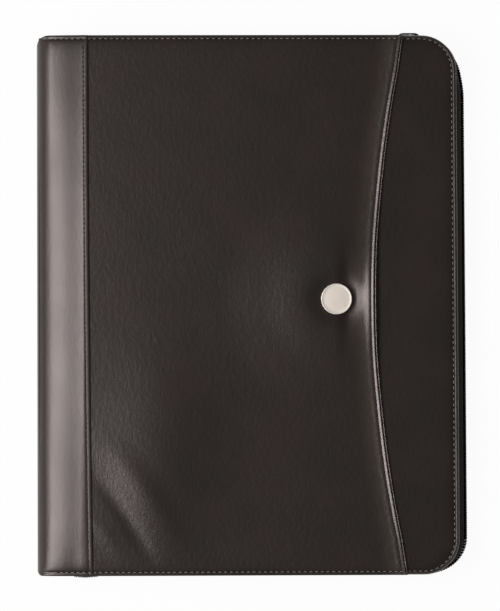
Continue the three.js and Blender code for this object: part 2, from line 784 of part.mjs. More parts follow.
function sliderRail(side, low, high) {
  const half = SLIDER_LENGTH / 2 - 2.6;
  const [z0, z1] = [side * RAIL_Z, side * (RAIL_Z + RAIL * 0.9)];
  return box(-half, half, low, high, Math.min(z0, z1), Math.max(z0, z1));
}

function sliderBridge() {
  const half = BRIDGE_LENGTH / 2;
  const foot = OUTER_FACE - OUTER_PLATE / 2;
  const crown = OUTER_FACE + BRIDGE_RISE;
  const under = crown - BRIDGE_TOP;
  const span = half - BRIDGE_LEG;
  const arch = new THREE.Shape();
  arch.moveTo(-half, foot);
  arch.lineTo(-span, foot);
  arch.lineTo(-span, under);
  arch.lineTo(span, under);
  arch.lineTo(span, foot);
  arch.lineTo(half, foot);
  arch.lineTo(half, OUTER_FACE + BRIDGE_RISE * 0.35);
  arch.quadraticCurveTo(half * 0.85, crown, half * 0.45, crown);
  arch.lineTo(-half * 0.45, crown);
  arch.quadraticCurveTo(-half * 0.85, crown, -half, OUTER_FACE + BRIDGE_RISE * 0.35);
  return plate(arch, -BRIDGE_WIDTH / 2, BRIDGE_WIDTH / 2, 6);
}

function sliderBody() {
  const overlap = OUTER_PLATE / 2;
  const postStart = -SLIDER_LENGTH / 2 + 1;
  return join(
    sliderPlate(OUTER_FOOT, OUTER_FACE),
    sliderPlate(INNER_TOP - SLIDER_PLATE, INNER_TOP),
    sliderRail(1, TAPE_FACE + FIT, OUTER_FOOT + overlap),
    sliderRail(-1, TAPE_FACE + FIT, OUTER_FOOT + overlap),
    box(
      postStart,
      postStart + POST_LENGTH,
      INNER_TOP - overlap,
      OUTER_FOOT + overlap,
      -POST / 2,
      POST / 2,
    ),
    sliderBridge(),
  );
}

function pullTab() {
  const middle = OUTER_FACE + FIT + PULL / 2;
  const eyeEnd = BRIDGE_LENGTH / 2 + PULL_EYE_FIT;
  const waist = eyeEnd + PULL_WAIST;
  const shoulder = (eyeEnd + waist) / 2;
  const neck = PULL_HALF_WIDTH * 0.78;
  const tip = PULL_HALF_WIDTH * 1.2;
  const shape = new THREE.Shape();
  shape.moveTo(PULL_BAR, PULL_HALF_WIDTH * 0.8);
  shape.lineTo(-PULL_BAR, PULL_HALF_WIDTH);
  shape.lineTo(-eyeEnd, PULL_HALF_WIDTH);
  shape.quadraticCurveTo(-shoulder, neck, -waist, neck);
  shape.lineTo(-PULL_LENGTH + tip, PULL_HALF_WIDTH);
  shape.quadraticCurveTo(-PULL_LENGTH, PULL_HALF_WIDTH, -PULL_LENGTH, 0);
  shape.quadraticCurveTo(-PULL_LENGTH, -PULL_HALF_WIDTH, -PULL_LENGTH + tip, -PULL_HALF_WIDTH);
  shape.lineTo(-waist, -neck);
  shape.quadraticCurveTo(-shoulder, -neck, -eyeEnd, -PULL_HALF_WIDTH);
  shape.lineTo(-PULL_BAR, -PULL_HALF_WIDTH);
  shape.lineTo(PULL_BAR, -PULL_HALF_WIDTH * 0.8);
  const eye = rectangle(-eyeEnd, -PULL_BAR, -PULL_EYE_HALF, PULL_EYE_HALF);
  shape.holes.push(new THREE.Path(eye.getPoints().reverse()));
  return alongY(shape, middle - PULL / 2, middle + PULL / 2, 6);
}

// Inside the back cover
const PAD_FOOT = FOOT_MARGIN - HALF;
const PAD_HEAD = HALF - HEAD_MARGIN;

function padPlan() {
  return rectangle(PAD_X, PAD_X + PAD_WIDTH, PAD_FOOT, PAD_HEAD);
}

function padCard() {
  const low = COVER_DEPTH + GLUE;
  return plate(padPlan(), low, low + PAD_CARD);
}

const SLOT_LOW = COVER_DEPTH + GLUE + PAD_CARD + GLUE;
const PAPER_LOW = SLOT_LOW + SLOT_PANEL + GLUE;

function padPaper() {
  return plate(padPlan(), PAPER_LOW, PAPER_LOW + PAD_PAPER);
}

function padBinding() {
  const [x0, x1] = [PAD_X, PAD_X + PAD_WIDTH];
  const low = COVER_DEPTH + GLUE;
  const top = PAPER_LOW + PAD_PAPER + GLUE;
  const start = PAD_HEAD - BINDING_REACH;
  const face = PAD_HEAD + GLUE;
  return join(
    box(x0, x1, face, face + BINDING, low, top + BINDING),
    box(x0, x1, start, face + GLUE, top, top + BINDING),
    box(x0, x1, start, face + GLUE, SLOT_LOW, PAPER_LOW - GLUE),
  );
}

function slotPanel() {
  const foot = -HALF + PANEL_INSET;
  const head = foot + SLOT_HEIGHT;
  const [x0, x1] = [PAD_X - SLOT_MARGIN, COVER_WIDTH - PANEL_INSET];
  const radius = FORE_CORNER_R - PANEL_INSET;
  const outer = new THREE.Shape();
  outer.moveTo(x0, foot);
  outer.lineTo(x1 - radius, foot);
  outer.absarc(x1 - radius, foot + radius, radius, -Math.PI / 2, 0);
  outer.lineTo(x1, head);
  outer.lineTo(x0, head);
  const low = COVER_DEPTH + GLUE;
  const cardSpace = box(
    PAD_X - FIT,
    PAD_X + PAD_WIDTH + FIT,
    PAD_FOOT - FIT,
    head + PAST,
    low - PAST,
    SLOT_LOW,
  );
  return cut(plate(outer, low, SLOT_LOW + SLOT_PANEL), cardSpace);
}

function penLoop() {
  const centre = COVER_DEPTH + GLUE + LOOP_R;
  const head = HALF - LOOP_HEAD_MARGIN;
  const foot = head - LOOP_LENGTH;
  const ring = new THREE.Shape().absarc(LOOP_X, centre, LOOP_R, 0, 2 * Math.PI);
  ring.holes.push(new THREE.Path().absarc(LOOP_X, centre, LOOP_R - LOOP_WALL, 0, 2 * Math.PI, true));
  const low = centre - LOOP_R;
  const tab = box(LOOP_X - LOOP_WALL, LOOP_X + LOOP_TAB_REACH, foot, head, low, low + LOOP_TAB);
  return join(alongY(ring, foot, head, 9), tab);
}

// Inside the front cover
function documentPocket() {
  const foot = -HALF + PANEL_INSET;
  const head = foot + DOCUMENT_HEIGHT;
  const dip = head - DOCUMENT_SLANT;
  const fore = COVER_WIDTH - PANEL_INSET;
  const radius = FORE_CORNER_R - PANEL_INSET;
  const shape = new THREE.Shape();
  shape.moveTo(DOCUMENT_START, foot);
  shape.lineTo(fore - radius, foot);
  shape.absarc(fore - radius, foot + radius, radius, -Math.PI / 2, 0);
  shape.lineTo(fore, dip);
  shape.quadraticCurveTo((fore + DOCUMENT_START) / 2, dip, DOCUMENT_START, head);
  const low = COVER_DEPTH + PLY_STEP;
  return toFront(plate(shape, low, low + POCKET_PLY));
}

function cardPocket(number) {
  const fore = COVER_WIDTH - CARD_FORE_MARGIN;
  const head = HALF - CARD_HEAD_MARGIN - number * CARD_STEP;
  const low = COVER_DEPTH + PLY_STEP + number * (POCKET_PLY + PLY_STEP);
  const shape = rectangle(fore - CARD_WIDTH, fore, head - CARD_HEIGHT, head, CARD_CORNER_R);
  return toFront(plate(shape, low, low + POCKET_PLY, 4));
}

function buildBackCover() {
  addPiece("back_leather", "leather", backLeather());
  addPiece("back_strip", "leather", stripFlange());
  addPiece("back_foam", "foam", foamSheet());
  addPiece("back_board", "board", boardSheet());
  addPiece("back_lining", "lining", liningSheet());
  addPiece("back_zip_tape", "tape", zipTape());
  addPiece("back_zip_coil", "coil", zipCoil());
  addPiece("back_zip_stop", "steel", zipStop(true, MID - OPEN_GAP - COIL_WIDTH, MID - OPEN_GAP));
  addPiece("foot_zip_stop", "steel", zipStop(false, MID - COIL_WIDTH, MID + COIL_WIDTH));
  addPiece("pad_slot_panel", "leather", slotPanel());
  addPiece("pen_loop", "elastic", penLoop());
  addPiece("pad_backing_card", "card", padCard());
  addPiece("pad_paper_block", "paper", padPaper());
  addPiece("pad_binding", "binding", padBinding());
}

function buildSpine() {
  addPiece("spine_strip", "leather", spineStrip());
  addPiece("spine_board", "board", spineBoard());
  addPiece("spine_lining", "lining", spineLining());
}

function buildFrontCover() {
  addPiece("front_leather", "leather", frontLeather());
  addPiece("front_strip", "leather", frontStrip());
  addPiece("front_foam", "foam", cut(toFront(foamSheet()), snapHole()));
  addPiece("front_board", "board", toFront(boardSheet()));
  addPiece("front_lining", "lining", toFront(liningSheet()));
  addPiece("front_zip_tape", "tape", toFront(zipTape()));
  addPiece("front_zip_coil", "coil", toFront(zipCoil()));
  const stop = zipStop(true, MID - OPEN_GAP - COIL_WIDTH, MID - OPEN_GAP);
  addPiece("front_zip_stop", "steel", toFront(stop));
  addPiece("pocket_panel", "leather", pocketPanel());
  addPiece("pocket_facing", "leather", pocketFacing());
  addPiece("pocket_lining", "lining", pocketLiningSheet());
  addPiece("snap_cap", "nickel", snapCap());
  addPiece("snap_male", "steel", snapMale());
  addPiece("snap_female", "steel", snapFemale());
  addPiece("snap_washer", "steel", snapWasher());
  addPiece("document_pocket", "lining", documentPocket());
  for (let number = 0; number < CARD_POCKETS; number += 1) {
    addPiece(`card_pocket_${number + 1}`, "leather", cardPocket(number));
  }
}

function buildZipPull() {
  const slider = new THREE.Group();
  slider.position.set(SLIDER_X, 0, MID);
  addPiece("zip_slider", "zipMetal", sliderBody(), slider);
  addPiece("pull_tab", "zipMetal", pullTab(), slider);
  folder.add(slider);
}

buildBackCover();
buildSpine();
buildFrontCover();
buildZipPull();

// The origin is on the table, under the middle of the closed folder.
const extent = new THREE.Box3().setFromObject(folder);
const middle = extent.getCenter(new THREE.Vector3());
folder.position.set(-middle.x, -middle.y, -extent.min.z);

export default folder;
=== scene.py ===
import math

import bpy
import numpy as np
from mathutils import Matrix, Vector


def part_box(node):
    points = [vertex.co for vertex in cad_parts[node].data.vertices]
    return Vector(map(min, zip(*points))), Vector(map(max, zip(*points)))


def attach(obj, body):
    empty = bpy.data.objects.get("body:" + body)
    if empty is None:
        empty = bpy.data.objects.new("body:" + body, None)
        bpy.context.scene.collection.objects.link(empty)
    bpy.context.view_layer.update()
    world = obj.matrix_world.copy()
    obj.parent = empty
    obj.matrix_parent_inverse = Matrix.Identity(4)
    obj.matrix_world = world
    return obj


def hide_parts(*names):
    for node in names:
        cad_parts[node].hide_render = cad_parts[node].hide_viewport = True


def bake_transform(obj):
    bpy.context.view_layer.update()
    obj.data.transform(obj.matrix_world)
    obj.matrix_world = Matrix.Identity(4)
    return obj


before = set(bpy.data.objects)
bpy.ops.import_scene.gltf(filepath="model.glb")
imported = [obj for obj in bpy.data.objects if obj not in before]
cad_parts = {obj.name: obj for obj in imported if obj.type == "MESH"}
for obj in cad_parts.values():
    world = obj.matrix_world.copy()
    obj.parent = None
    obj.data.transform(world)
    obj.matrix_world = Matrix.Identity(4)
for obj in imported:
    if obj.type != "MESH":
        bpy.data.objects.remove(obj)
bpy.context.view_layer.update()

# Sizes in millimetres, measured from the spine's face, the middle of the folder's length and the table
SPINE_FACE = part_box("spine_strip")[0].x * 1000
MIDDLE = (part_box("back_leather")[0].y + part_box("back_leather")[1].y) * 500
COVER_WIDTH = 249.6
COVER_LENGTH = 319.0
HALF = COVER_LENGTH / 2
CORNER_R = 21.0
CORNER_X = COVER_WIDTH - CORNER_R
CORNER_Y = HALF - CORNER_R
MID = 11.1
FRONT_FACE = 22.2
FRONT_SEAM = 21.66
POCKET_TOP = 24.2
STRIP_TOP = 25.5
STRIP_WIDTH = 30.6
MOUTH_X, MOUTH_Y, MOUTH_R = 197.7, 4.0, 700.0
SNAP_X, SNAP_Y, CAP_R = 176.9, 3.4, 9.1
SWELL = 1.6
SEAM_INSET = 2.1
STITCH_PITCH = 3.2
SUNK_PITCH = 2.8
UP = (0, 0, 1)
DOWN = (0, 0, -1)

# Distances along the covers' edge, from the zip's start at the foot round to the head
ZIP_START = 15.0
STRAIGHT = CORNER_X - ZIP_START
FORE_START = STRAIGHT + math.pi / 2 * CORNER_R
HEAD_CORNER = FORE_START + 2 * CORNER_Y
HEAD_START = HEAD_CORNER + math.pi / 2 * CORNER_R
ZIP_LENGTH = HEAD_START + STRAIGHT
HEAD_END = HEAD_START + CORNER_X
SLIDER_X = 220.9
COIL_PITCH = 1.5
COIL_GAP, PARTED_GAP = 0.15, 0.9

# Edges of the panels sewn inside the covers
PANEL_FOOT, PANEL_FORE, PANEL_CORNER = -153.5, 243.6, 15.0


def smooth(value, low, high):
    share = np.clip((value - low) / (high - low), 0, 1)
    return share * share * (3 - 2 * share)


def hump(value, centre, width):
    return np.exp(-(((value - centre) / width) ** 2))


def mix(a, b, share):
    return a + (b - a) * share


def to_metres(x, y, z):
    x, y, z = np.broadcast_arrays(x, y, z)
    return np.stack([x + SPINE_FACE, y + MIDDLE, z], axis=-1) / 1000


# Heights of the front's leather
def strip_edge(y):
    return STRIP_WIDTH + 2.6 * (0.5 - y / COVER_LENGTH) ** 2


def mouth_at(y):
    return MOUTH_X + MOUTH_R - np.sqrt(MOUTH_R**2 - (y - MOUTH_Y) ** 2)


def rim_at(y):
    """The turned edge of the pocket's leather, which goes a little past the line of the mouth."""
    return mouth_at(y) + 1.2 + 0.6 * smooth(np.abs(y - SNAP_Y), 25, 70) - 1.2 * smooth(np.abs(y), 135, HALF)


def edge_drop(inset):
    """How far the edge seam pulls the leather down, at a distance from the edge."""
    steps = [0, 0.6, 1.3, 2.1, 2.9, 4.4, 7.2, 11]
    return np.interp(inset, steps, [0.55, 0.42, 0.4, 0.62, 0.36, 0.18, 0.05, 0])


def unevenness(x, y):
    """The slight waviness that no leather is free of."""
    return 0.014 * (
        np.sin(x / 8.3 + y / 21 + 0.4) + np.sin(y / 11.7 - x / 27 + 1.9) + 0.7 * np.sin((x + y) / 6.1 + 4.2)
    )


# The strip's dome: its slope in degrees at distances from the spine's face, and how far it lies below its top
DOME_X = np.linspace(6, 28, 45)
DOME_SLOPE = np.interp(
    DOME_X, [6, 7.1, 8.9, 10.6, 12.4, 14.2, 16, 17.7, 19.5, 21.3, 23, 24.8, 26.6, 28],
    [22.5, 20, 16.5, 14, 12.8, 11.5, 9.9, 8.9, 8.3, 8.2, 8.5, 9.4, 10.5, 10.5],
)
DOME_FALL = np.tan(np.radians(DOME_SLOPE)) * (DOME_X[1] - DOME_X[0])
DOME_DROP = np.cumsum(DOME_FALL[::-1])[::-1]
FOLD_DROP = np.cumsum((DOME_FALL * (1 - smooth(DOME_X, 5, 10.5)))[::-1])[::-1]
STRIP_DOME = DOME_DROP[0]


def dome_drop(x, y):
    """How far the strip lies below its highest line. It is flatter towards its ends, but not at the fold."""
    head = np.interp(HALF - y, [0, 15, 39, 50, 62, 98, 150], [0.59, 0.62, 0.7, 0.75, 0.82, 0.94, 1])
    foot = np.interp(HALF + y, [0, 3, 12, 30, 60, 110], [0.5, 0.58, 0.74, 0.8, 0.82, 1])
    share = head * foot
    fold = np.interp(x, DOME_X, FOLD_DROP)
    return share * (np.interp(x, DOME_X, DOME_DROP) - fold) + (1 + 0.2 * (1 - head)) * fold


def strip_face(x, y):
    """The spine strip over the front cover, domed towards the fold, with its turned edge by the seam."""
    to_end = HALF - np.abs(y)
    inside = strip_edge(y) - x
    turned = np.interp(
        inside, [0, 0.3, 0.6, 0.9, 1.2, 1.6, 2.0, 2.3, 2.6, 2.9, 3.3, 4.2],
        [-0.3, -0.04, 0.08, 0.13, 0.14, 0.11, 0.07, 0.03, 0, 0, 0.01, 0],
    )
    pucker = 0.26 * np.exp(-(((x - 22) / 7) ** 2) - ((y + HALF - 7) / 9) ** 2)
    roll = np.where(y < 0, 0.85 * np.exp(-to_end / 5.5), 0.3 * np.exp(-to_end / 5))
    face = STRIP_TOP - dome_drop(x, y) + turned - edge_drop(to_end) - roll - pucker
    return face + unevenness(x, y) * 0.6


WRINKLES = (  # x, y, half length, half width, height
    (51, -123, 26, 4.6, -0.55),
    (61.5, -107, 30, 9, 0.75),
    (40, -134, 17, 4.6, 0.28),
    (79, -103, 30, 8, 0.12),
    (76, -128, 24, 8, 0.12),
    (60, -139, 15, 5, -0.2),
)


def wrinkles(x, y):
    height = 0
    for wx, wy, long, wide, rise in WRINKLES:
        along = (x - wx) * 0.57 - (y - wy) * 0.82
        across = (x - wx) * 0.82 + (y - wy) * 0.57 + along**2 * 0.002
        height = height + rise * np.exp(-((along / long) ** 2) - (across / wide) ** 2)
    return height + 1.85 * np.exp(-(((x - 72) / 31) ** 2) - ((y + 82) / 54) ** 2)


def snap_lift(x, y):
    """The pocket stands up over the snap, and its mouth is pulled up beside it by use."""
    radius = np.hypot(x - SNAP_X, y - SNAP_Y)
    beside = smooth(radius, 6.5, 10.5) * smooth(x - SNAP_X, 0, 6) * hump(y, SNAP_Y, 22)
    swell = SWELL * (1 - smooth(radius, 19, 70)) - 1.9 * beside
    ring = 0.6 * smooth(radius, CAP_R, 18) * (1 - smooth(radius, 18, 44))
    share = np.clip((x - SNAP_X - 5) / (mouth_at(y) - SNAP_X - 5), 0, 0.94)
    pull = share**1.1 * (1.66 * hump(y, SNAP_Y - 1, 12 + 9 * share) + 0.55 * hump(y, SNAP_Y, 40))
    return swell + ring + pull


def panel_face(x, y):
    """The outside pocket's leather."""
    inside = rim_at(y) - x
    turned = np.interp(
        inside, [0, 0.2, 0.55, 0.95, 1.3, 1.5, 1.8, 2.3, 2.9, 3.6],
        [0.41, 0.46, 0.36, 0.22, 0.1, 0.03, -0.03, -0.02, 0.03, 0.03],
    )
    turned = turned * (1 - 0.6 * smooth(np.abs(y), 112, 158))
    turned = turned + 0.38 * (1 - smooth(inside, 2.1, 6.4)) + 0.3 * (1 - np.exp(-np.maximum(x - 30, 0) / 17))
    beneath = strip_edge(y) - 3
    under_strip = strip_face(np.minimum(x, beneath), y) - 1.3 + 0.45 * np.maximum(x - beneath, 0)
    face = POCKET_TOP + snap_lift(x, y) + turned + wrinkles(x, y) + unevenness(x, y)
    return np.minimum(face - edge_drop(HALF - np.abs(y)), under_strip)


# Hand tools
def deselect():
    bpy.ops.object.select_all(action="DESELECT")


def select_only(piece):
    deselect()
    piece.select_set(True)
    bpy.context.view_layer.objects.active = piece


def apply_modifier(piece, kind, **settings):
    select_only(piece)
    bpy.ops.object.modifier_add(type=kind)
    modifier = piece.modifiers[-1]
    for name, value in settings.items():
        setattr(modifier, name, value)
    bpy.ops.object.modifier_apply(modifier=modifier.name)


def smooth_shading(piece, degrees=40):
    select_only(piece)
    bpy.ops.object.shade_smooth_by_angle(angle=math.radians(degrees))


def settle(piece):
    """Puts a piece's place into its mesh."""
    select_only(piece)
    bpy.ops.object.transform_apply(location=True, rotation=True, scale=True)


def thicken(piece, thickness, rounding=0.0, middle=False, segments=3):
    """Gives a sheet its thickness, behind it or about its middle, and rounds its edges."""
    offset = 0 if middle else -1
    apply_modifier(piece, "SOLIDIFY", thickness=thickness / 1000, offset=offset, use_even_offset=True)
    if rounding:
        limit = {"limit_method": "ANGLE", "angle_limit": math.radians(50)}
        apply_modifier(piece, "BEVEL", width=rounding / 1000, segments=segments, **limit)
    smooth_shading(piece)


def edit_only(piece, kind, chosen):
    """Opens a piece for editing with only the chosen faces or edges selected."""
    select_only(piece)
    bpy.ops.object.mode_set(mode="EDIT")
    bpy.ops.mesh.select_mode(type=kind)
    bpy.ops.mesh.select_all(action="DESELECT")
    bpy.ops.object.mode_set(mode="OBJECT")
    for part in piece.data.polygons if kind == "FACE" else piece.data.edges:
        part.select = chosen(part)
    bpy.ops.object.mode_set(mode="EDIT")


def stop_editing():
    bpy.ops.object.mode_set(mode="OBJECT")


def finish_piece(piece, material, slot, *bodies, replaces=()):
    piece.data.materials.clear()
    piece.data.materials.append(material)
    if len(bodies) == 1:
        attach(piece, bodies[0])
    if replaces:
        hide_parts(*replaces)


# Sheets of leather, lining and tape
def lay_sheet(name, columns, rows, shape, turned_over=False, rubbed_and_highlit=None, taut=None):
    """A sheet of columns by rows squares, with each corner laid where shape says. The mark for rub wear with
    a painted highlight, and the mark for taut leather, are painted on it for its finish."""
    deselect()
    bpy.ops.mesh.primitive_grid_add(x_subdivisions=columns, y_subdivisions=rows, size=1)
    sheet = bpy.context.object
    sheet.name = sheet.data.name = name
    flat = np.zeros(len(sheet.data.vertices) * 3)
    sheet.data.vertices.foreach_get("co", flat)
    flat = flat.reshape(-1, 3)
    i = np.rint((flat[:, 0] + 0.5) * columns).astype(int)
    j = np.rint((flat[:, 1] + 0.5) * rows).astype(int)
    x, y, z = shape(i, j)
    sheet.data.vertices.foreach_set("co", to_metres(x, y, z).ravel())
    for mark, amount in (("rubbed_and_highlit", rubbed_and_highlit), ("taut", taut)):
        if amount is not None:
            painted = sheet.data.attributes.new(mark, "FLOAT", "POINT")
            painted.data.foreach_set("value", amount(x, y).astype(np.float32))
    sheet.data.update()
    if turned_over:
        edit_only(sheet, "FACE", lambda face: True)
        bpy.ops.mesh.flip_normals()
        stop_editing()
    return sheet


def rows_along(steps):
    """Places along the folder's length, close together where the edge seam runs."""
    ends = np.array([0, 0.6, 1.0, 1.4, 1.75, 2.1, 2.45, 2.9, 3.5, 4.4, 5.6, 7.2, 9.2, 11.5, 14])
    middle = np.linspace(-HALF + ends[-1], HALF - ends[-1], steps + 1)[1:-1]
    return np.concatenate([ends - HALF, middle, HALF - ends[::-1]])


def cover_sheet(name, profile, start, columns, rows, front=True, faces_in=False, adjust=None, rubbed_and_highlit=None):
    """A sheet to the covers' plan. The profile is [inset from the cover's edge, height] pairs from the
    sheet's own border inwards, for the front cover. The back cover's sheet is the same turned over."""
    rings = len(profile) - 1
    insets, heights = np.array(profile, float).T
    columns, rows = columns + rings, rows + 2 * rings

    def shape(i, j):
        beyond_x = np.maximum(i - (columns - rings), 0)
        beyond_y = np.maximum(np.maximum(rings - j, j - (rows - rings)), 0)
        ring = rings - np.maximum(beyond_x, beyond_y)
        inset, z = insets[ring], heights[ring]
        head = np.where(j > rows / 2, 1, -1)
        inner_x = start + (CORNER_X - start) * np.minimum(i / (columns - rings), 1)
        inner_y = CORNER_Y * np.clip(2 * (j - rings) / (rows - 2 * rings) - 1, -1, 1)
        most = np.maximum(np.maximum(beyond_x, beyond_y), 1)
        turn = np.where(beyond_y >= beyond_x, beyond_x / most * 0.5, 1 - beyond_y / most * 0.5)
        angle = (1 - turn) * math.pi / 2 * head
        x = np.where(beyond_x > 0, CORNER_X + (CORNER_R - inset) * np.cos(angle), inner_x)
        y = np.where(beyond_y > 0, head * CORNER_Y + (CORNER_R - inset) * np.sin(angle), inner_y)
        if adjust:
            x, y, z = adjust(x, y, z)
        return x, y, z if front else FRONT_FACE - z

    return lay_sheet(name, columns, rows, shape, turned_over=front == faces_in, rubbed_and_highlit=rubbed_and_highlit)


# The covers' leather: turned in under the rim, then round it, over the seam and onto the face
COVER_ROLL = (
    (9.4, 18.7), (5.5, 18.7), (2.2, 18.7), (0.95, 18.8), (0.3, 19.3), (0, 20.1), (0, 20.65), (0.18, 21.25),
    (0.62, 21.75), (1.15, 21.88), (1.8, 21.74), (2.4, 21.53), (2.9, 21.62), (3.6, 21.86), (5, 22.05),
    (7, 22.16), (11, 22.2), (21, 22.2),
)


def fore_shift(x, y):
    """The front cover's fore-edge leans in a little towards the head."""
    return 1.2 * (0.5 + y / COVER_LENGTH) * smooth(x, 195, COVER_WIDTH)


def front_cover_leather():
    """The front cover's own leather, which shows past the pocket's mouth and dips under the strip."""

    def under_the_pocket(x, y, z):
        under_strip = np.where(x < 30, strip_face(x, y) - 1.3, 99)
        face = np.minimum(z + unevenness(x, y) * smooth(x, 100, 150), under_strip)
        return x - fore_shift(x, y), y, np.where(z > 21.5, face, z)

    made = {"adjust": under_the_pocket, "rubbed_and_highlit": edge_rub_and_highlight}
    leather = cover_sheet("front_cover_leather", COVER_ROLL, 8, 90, 110, **made)
    thicken(leather, 0.65)
    bore_for_snap(leather)
    finish_piece(leather, LEATHER, "leather", "front_cover", replaces=["front_leather"])


def edge_rub_and_highlight(x, y):
    """The covers' leather is lighter along its outermost line: rub wear, and a painted highlight where the
    rounded edge catches the light.
    """
    past_x, past_y = np.maximum(x - CORNER_X, 0), np.maximum(np.abs(y) - CORNER_Y, 0)
    inset = CORNER_R - np.hypot(past_x, past_y)
    return 0.9 * (1 - smooth(inset, 0.4, 1.8))


def back_cover_leather():
    def over_the_strip(x, y, z):
        edge = strip_edge(y)
        near = smooth(x, 12, 26) * (1 - smooth(x, 40, 70))
        x = x + (edge - STRIP_WIDTH) * near
        return x, y, np.where((z > 21.4) & (x < edge + 0.2), np.minimum(z, FRONT_FACE - 1.35), z)

    made = {"front": False, "adjust": over_the_strip, "rubbed_and_highlit": edge_rub_and_highlight}
    leather = cover_sheet("back_cover_leather", COVER_ROLL, 8, 90, 90, **made)
    thicken(leather, 0.65)
    finish_piece(leather, LEATHER, "leather", "back_cover", replaces=["back_leather"])


def bore_for_snap(piece):
    """The hole through the cover for the snap's lower half."""
    deselect()
    centre = to_metres(SNAP_X, SNAP_Y, 21.5)
    bpy.ops.mesh.primitive_cylinder_add(vertices=48, radius=CAP_R / 1000, depth=0.0034, location=centre)
    drill = bpy.context.object
    apply_modifier(piece, "BOOLEAN", operation="DIFFERENCE", solver="EXACT", object=drill)
    bpy.data.objects.remove(drill)
    smooth_shading(piece)


def cover_fillings():
    for front, name in ((True, "front"), (False, "back")):
        body = f"{name}_cover"
        felt = cover_sheet(f"{name}_padding", ((1.8, 20.9), (21, 20.9)), 34.3, 12, 16, front=front)
        thicken(felt, 1.35, 0.3)
        if front:
            bore_for_snap(felt)
        finish_piece(felt, FELT, "foam", body, replaces=[f"{name}_foam"])
        rim = ((1.5, 17.62), (1.62, 17.46), (1.9, 17.4), (3, 17.4), (21, 17.4))
        lining = cover_sheet(f"{name}_inside_lining", rim, 6, 30, 40, front=front, faces_in=True)
        thicken(lining, 0.42)
        finish_piece(lining, LINING, "lining", body, replaces=[f"{name}_lining"])


# Spine strip, in two pieces that meet in the middle of the spine and are shaped round the two folds
def strip_route(front):
    """The strip's outer face, as [x, z] pairs from the middle of the spine round the fold to the flange."""
    share = np.linspace(0, 1, 17)[1:, None]
    if front:
        p0, p1, p2, p3 = np.array([[0, -7.2], [0, -3.3], [2.67, -1.38], [6, 0]]) + [0, STRIP_TOP - STRIP_DOME]
    else:
        p0, p1, p2, p3 = np.array([[0, 9.0], [0, 3.4], [3.0, 0], [8, 0]])
    curve = p0 * (1 - share) ** 3 + 3 * p1 * share * (1 - share) ** 2
    curve = curve + 3 * p2 * share**2 * (1 - share) + p3 * share**3
    straight = np.linspace(MID + 1.65, p0[1], 4)
    return np.vstack([np.column_stack([np.zeros(4), straight]), curve])


def strip_half(front):
    route = strip_route(front)
    inside = np.array([0.0, 0.3, 0.6, 0.9, 1.2, 1.6, 2.0, 2.3, 2.6, 2.9, 3.3, 3.8, 4.6])
    flange = np.linspace(7.2 if front else 9, 25.6, 22)
    ys = rows_along(170)
    columns = len(route) + len(flange) + len(inside) - 1

    def shape(i, j):
        y = ys[j]
        past_flange = i - len(route) - len(flange)
        on_route, on_edge = i < len(route), past_flange >= 0
        x, z = route[np.minimum(i, len(route) - 1)].T
        x = np.where(on_route, x, flange[np.clip(i - len(route), 0, len(flange) - 1)])
        x = np.where(on_edge, strip_edge(y) - inside[::-1][np.maximum(past_flange, 0)], x)
        corner = np.where(y > 0, 7.0, 3.4)
        short = corner - np.sqrt(corner**2 - np.clip(corner - x, 0, corner) ** 2)
        y = y * (HALF - short) / HALF
        if front:
            end_fall = (edge_drop(HALF - np.abs(y)) + 0.5) * smooth(np.abs(y), 146, HALF) * smooth(z, 17, 22)
            z = np.where(on_route, z - end_fall, strip_face(x, y))
            flatter = STRIP_DOME - dome_drop(6, y)
            z = np.where(on_route, z + flatter * smooth(z, MID + 1.65, 19), z)
        else:
            inset = strip_edge(y) - x
            z = np.where(on_route, z, 0.12 * hump(inset, 3.0, 0.5) + 0.12 * (1 - smooth(inset, 0, 0.7)))
        return x, y, z

    name = "spine_wrap_front" if front else "spine_wrap_back"
    # Lighter on the spine's rounded shoulder and on the ridge by the seam: rub wear, with a painted highlight
    # where these catch the light.
    rubbed_and_highlit_marks = lambda x, y: 0.45 * hump(x, 1.8, 2.2) + 0.5 * hump(strip_edge(y) - x, 1.3, 0.7)
    pulled = lambda x, y: 0.7 + 0 * x
    wrap = lay_sheet(name, columns, len(ys) - 1, shape, turned_over=not front, rubbed_and_highlit=rubbed_and_highlit_marks, taut=pulled)
    thicken(wrap, 1.15, 0.32)
    if front:
        finish_piece(wrap, LEATHER, "leather", replaces=["front_strip"])
        to_metres(0, 0, 17.6)
        to_metres(6, 0, STRIP_TOP - STRIP_DOME)
        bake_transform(wrap)
    else:
        finish_piece(wrap, LEATHER, "leather", replaces=["back_strip", "spine_strip"])
        to_metres(7, 0, 0)
        to_metres(0, 0, 5.2)
        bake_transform(wrap)


def spine_inside():
    """The lining down the middle of the spine, and the two strips of lining beside it at the folds."""
    ys = np.linspace(-154.5, 154.5, 41)
    flat = lambda i, j: (3.3, ys[j], 16.8 - 11.4 * i / 6)
    lining = lay_sheet("spine_inside_lining", 6, 40, flat, turned_over=True)
    thicken(lining, 0.42, 0.1)
    finish_piece(lining, LINING, "lining", "spine", replaces=["spine_lining"])
    xs = np.array([9.5, 8, 6.6, 5.4, 4.5, 3.95, 3.7, 3.6, 3.58])
    heights = np.array([4.72, 4.78, 4.9, 5.05, 5.35, 5.9, 6.6, 7.4, 8.2])
    for front in (True, False):
        zs = FRONT_FACE - heights if front else heights
        shape = lambda i, j, zs=zs: (xs[i], ys[j], zs[i])
        name = "lining_hinge_front" if front else "lining_hinge_back"
        hinge = lay_sheet(name, len(xs) - 1, 40, shape, turned_over=not front)
        thicken(hinge, 0.3, middle=True)
        finish_piece(hinge, LINING, "lining")
        low, high = to_metres(9.5, 0, 4.7), to_metres(3.58, 0, 8.2)
        if front:
            low, high = to_metres(3.58, 0, FRONT_FACE - 8.2), to_metres(9.5, 0, FRONT_FACE - 4.7)
            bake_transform(hinge)
        else:
            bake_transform(hinge)


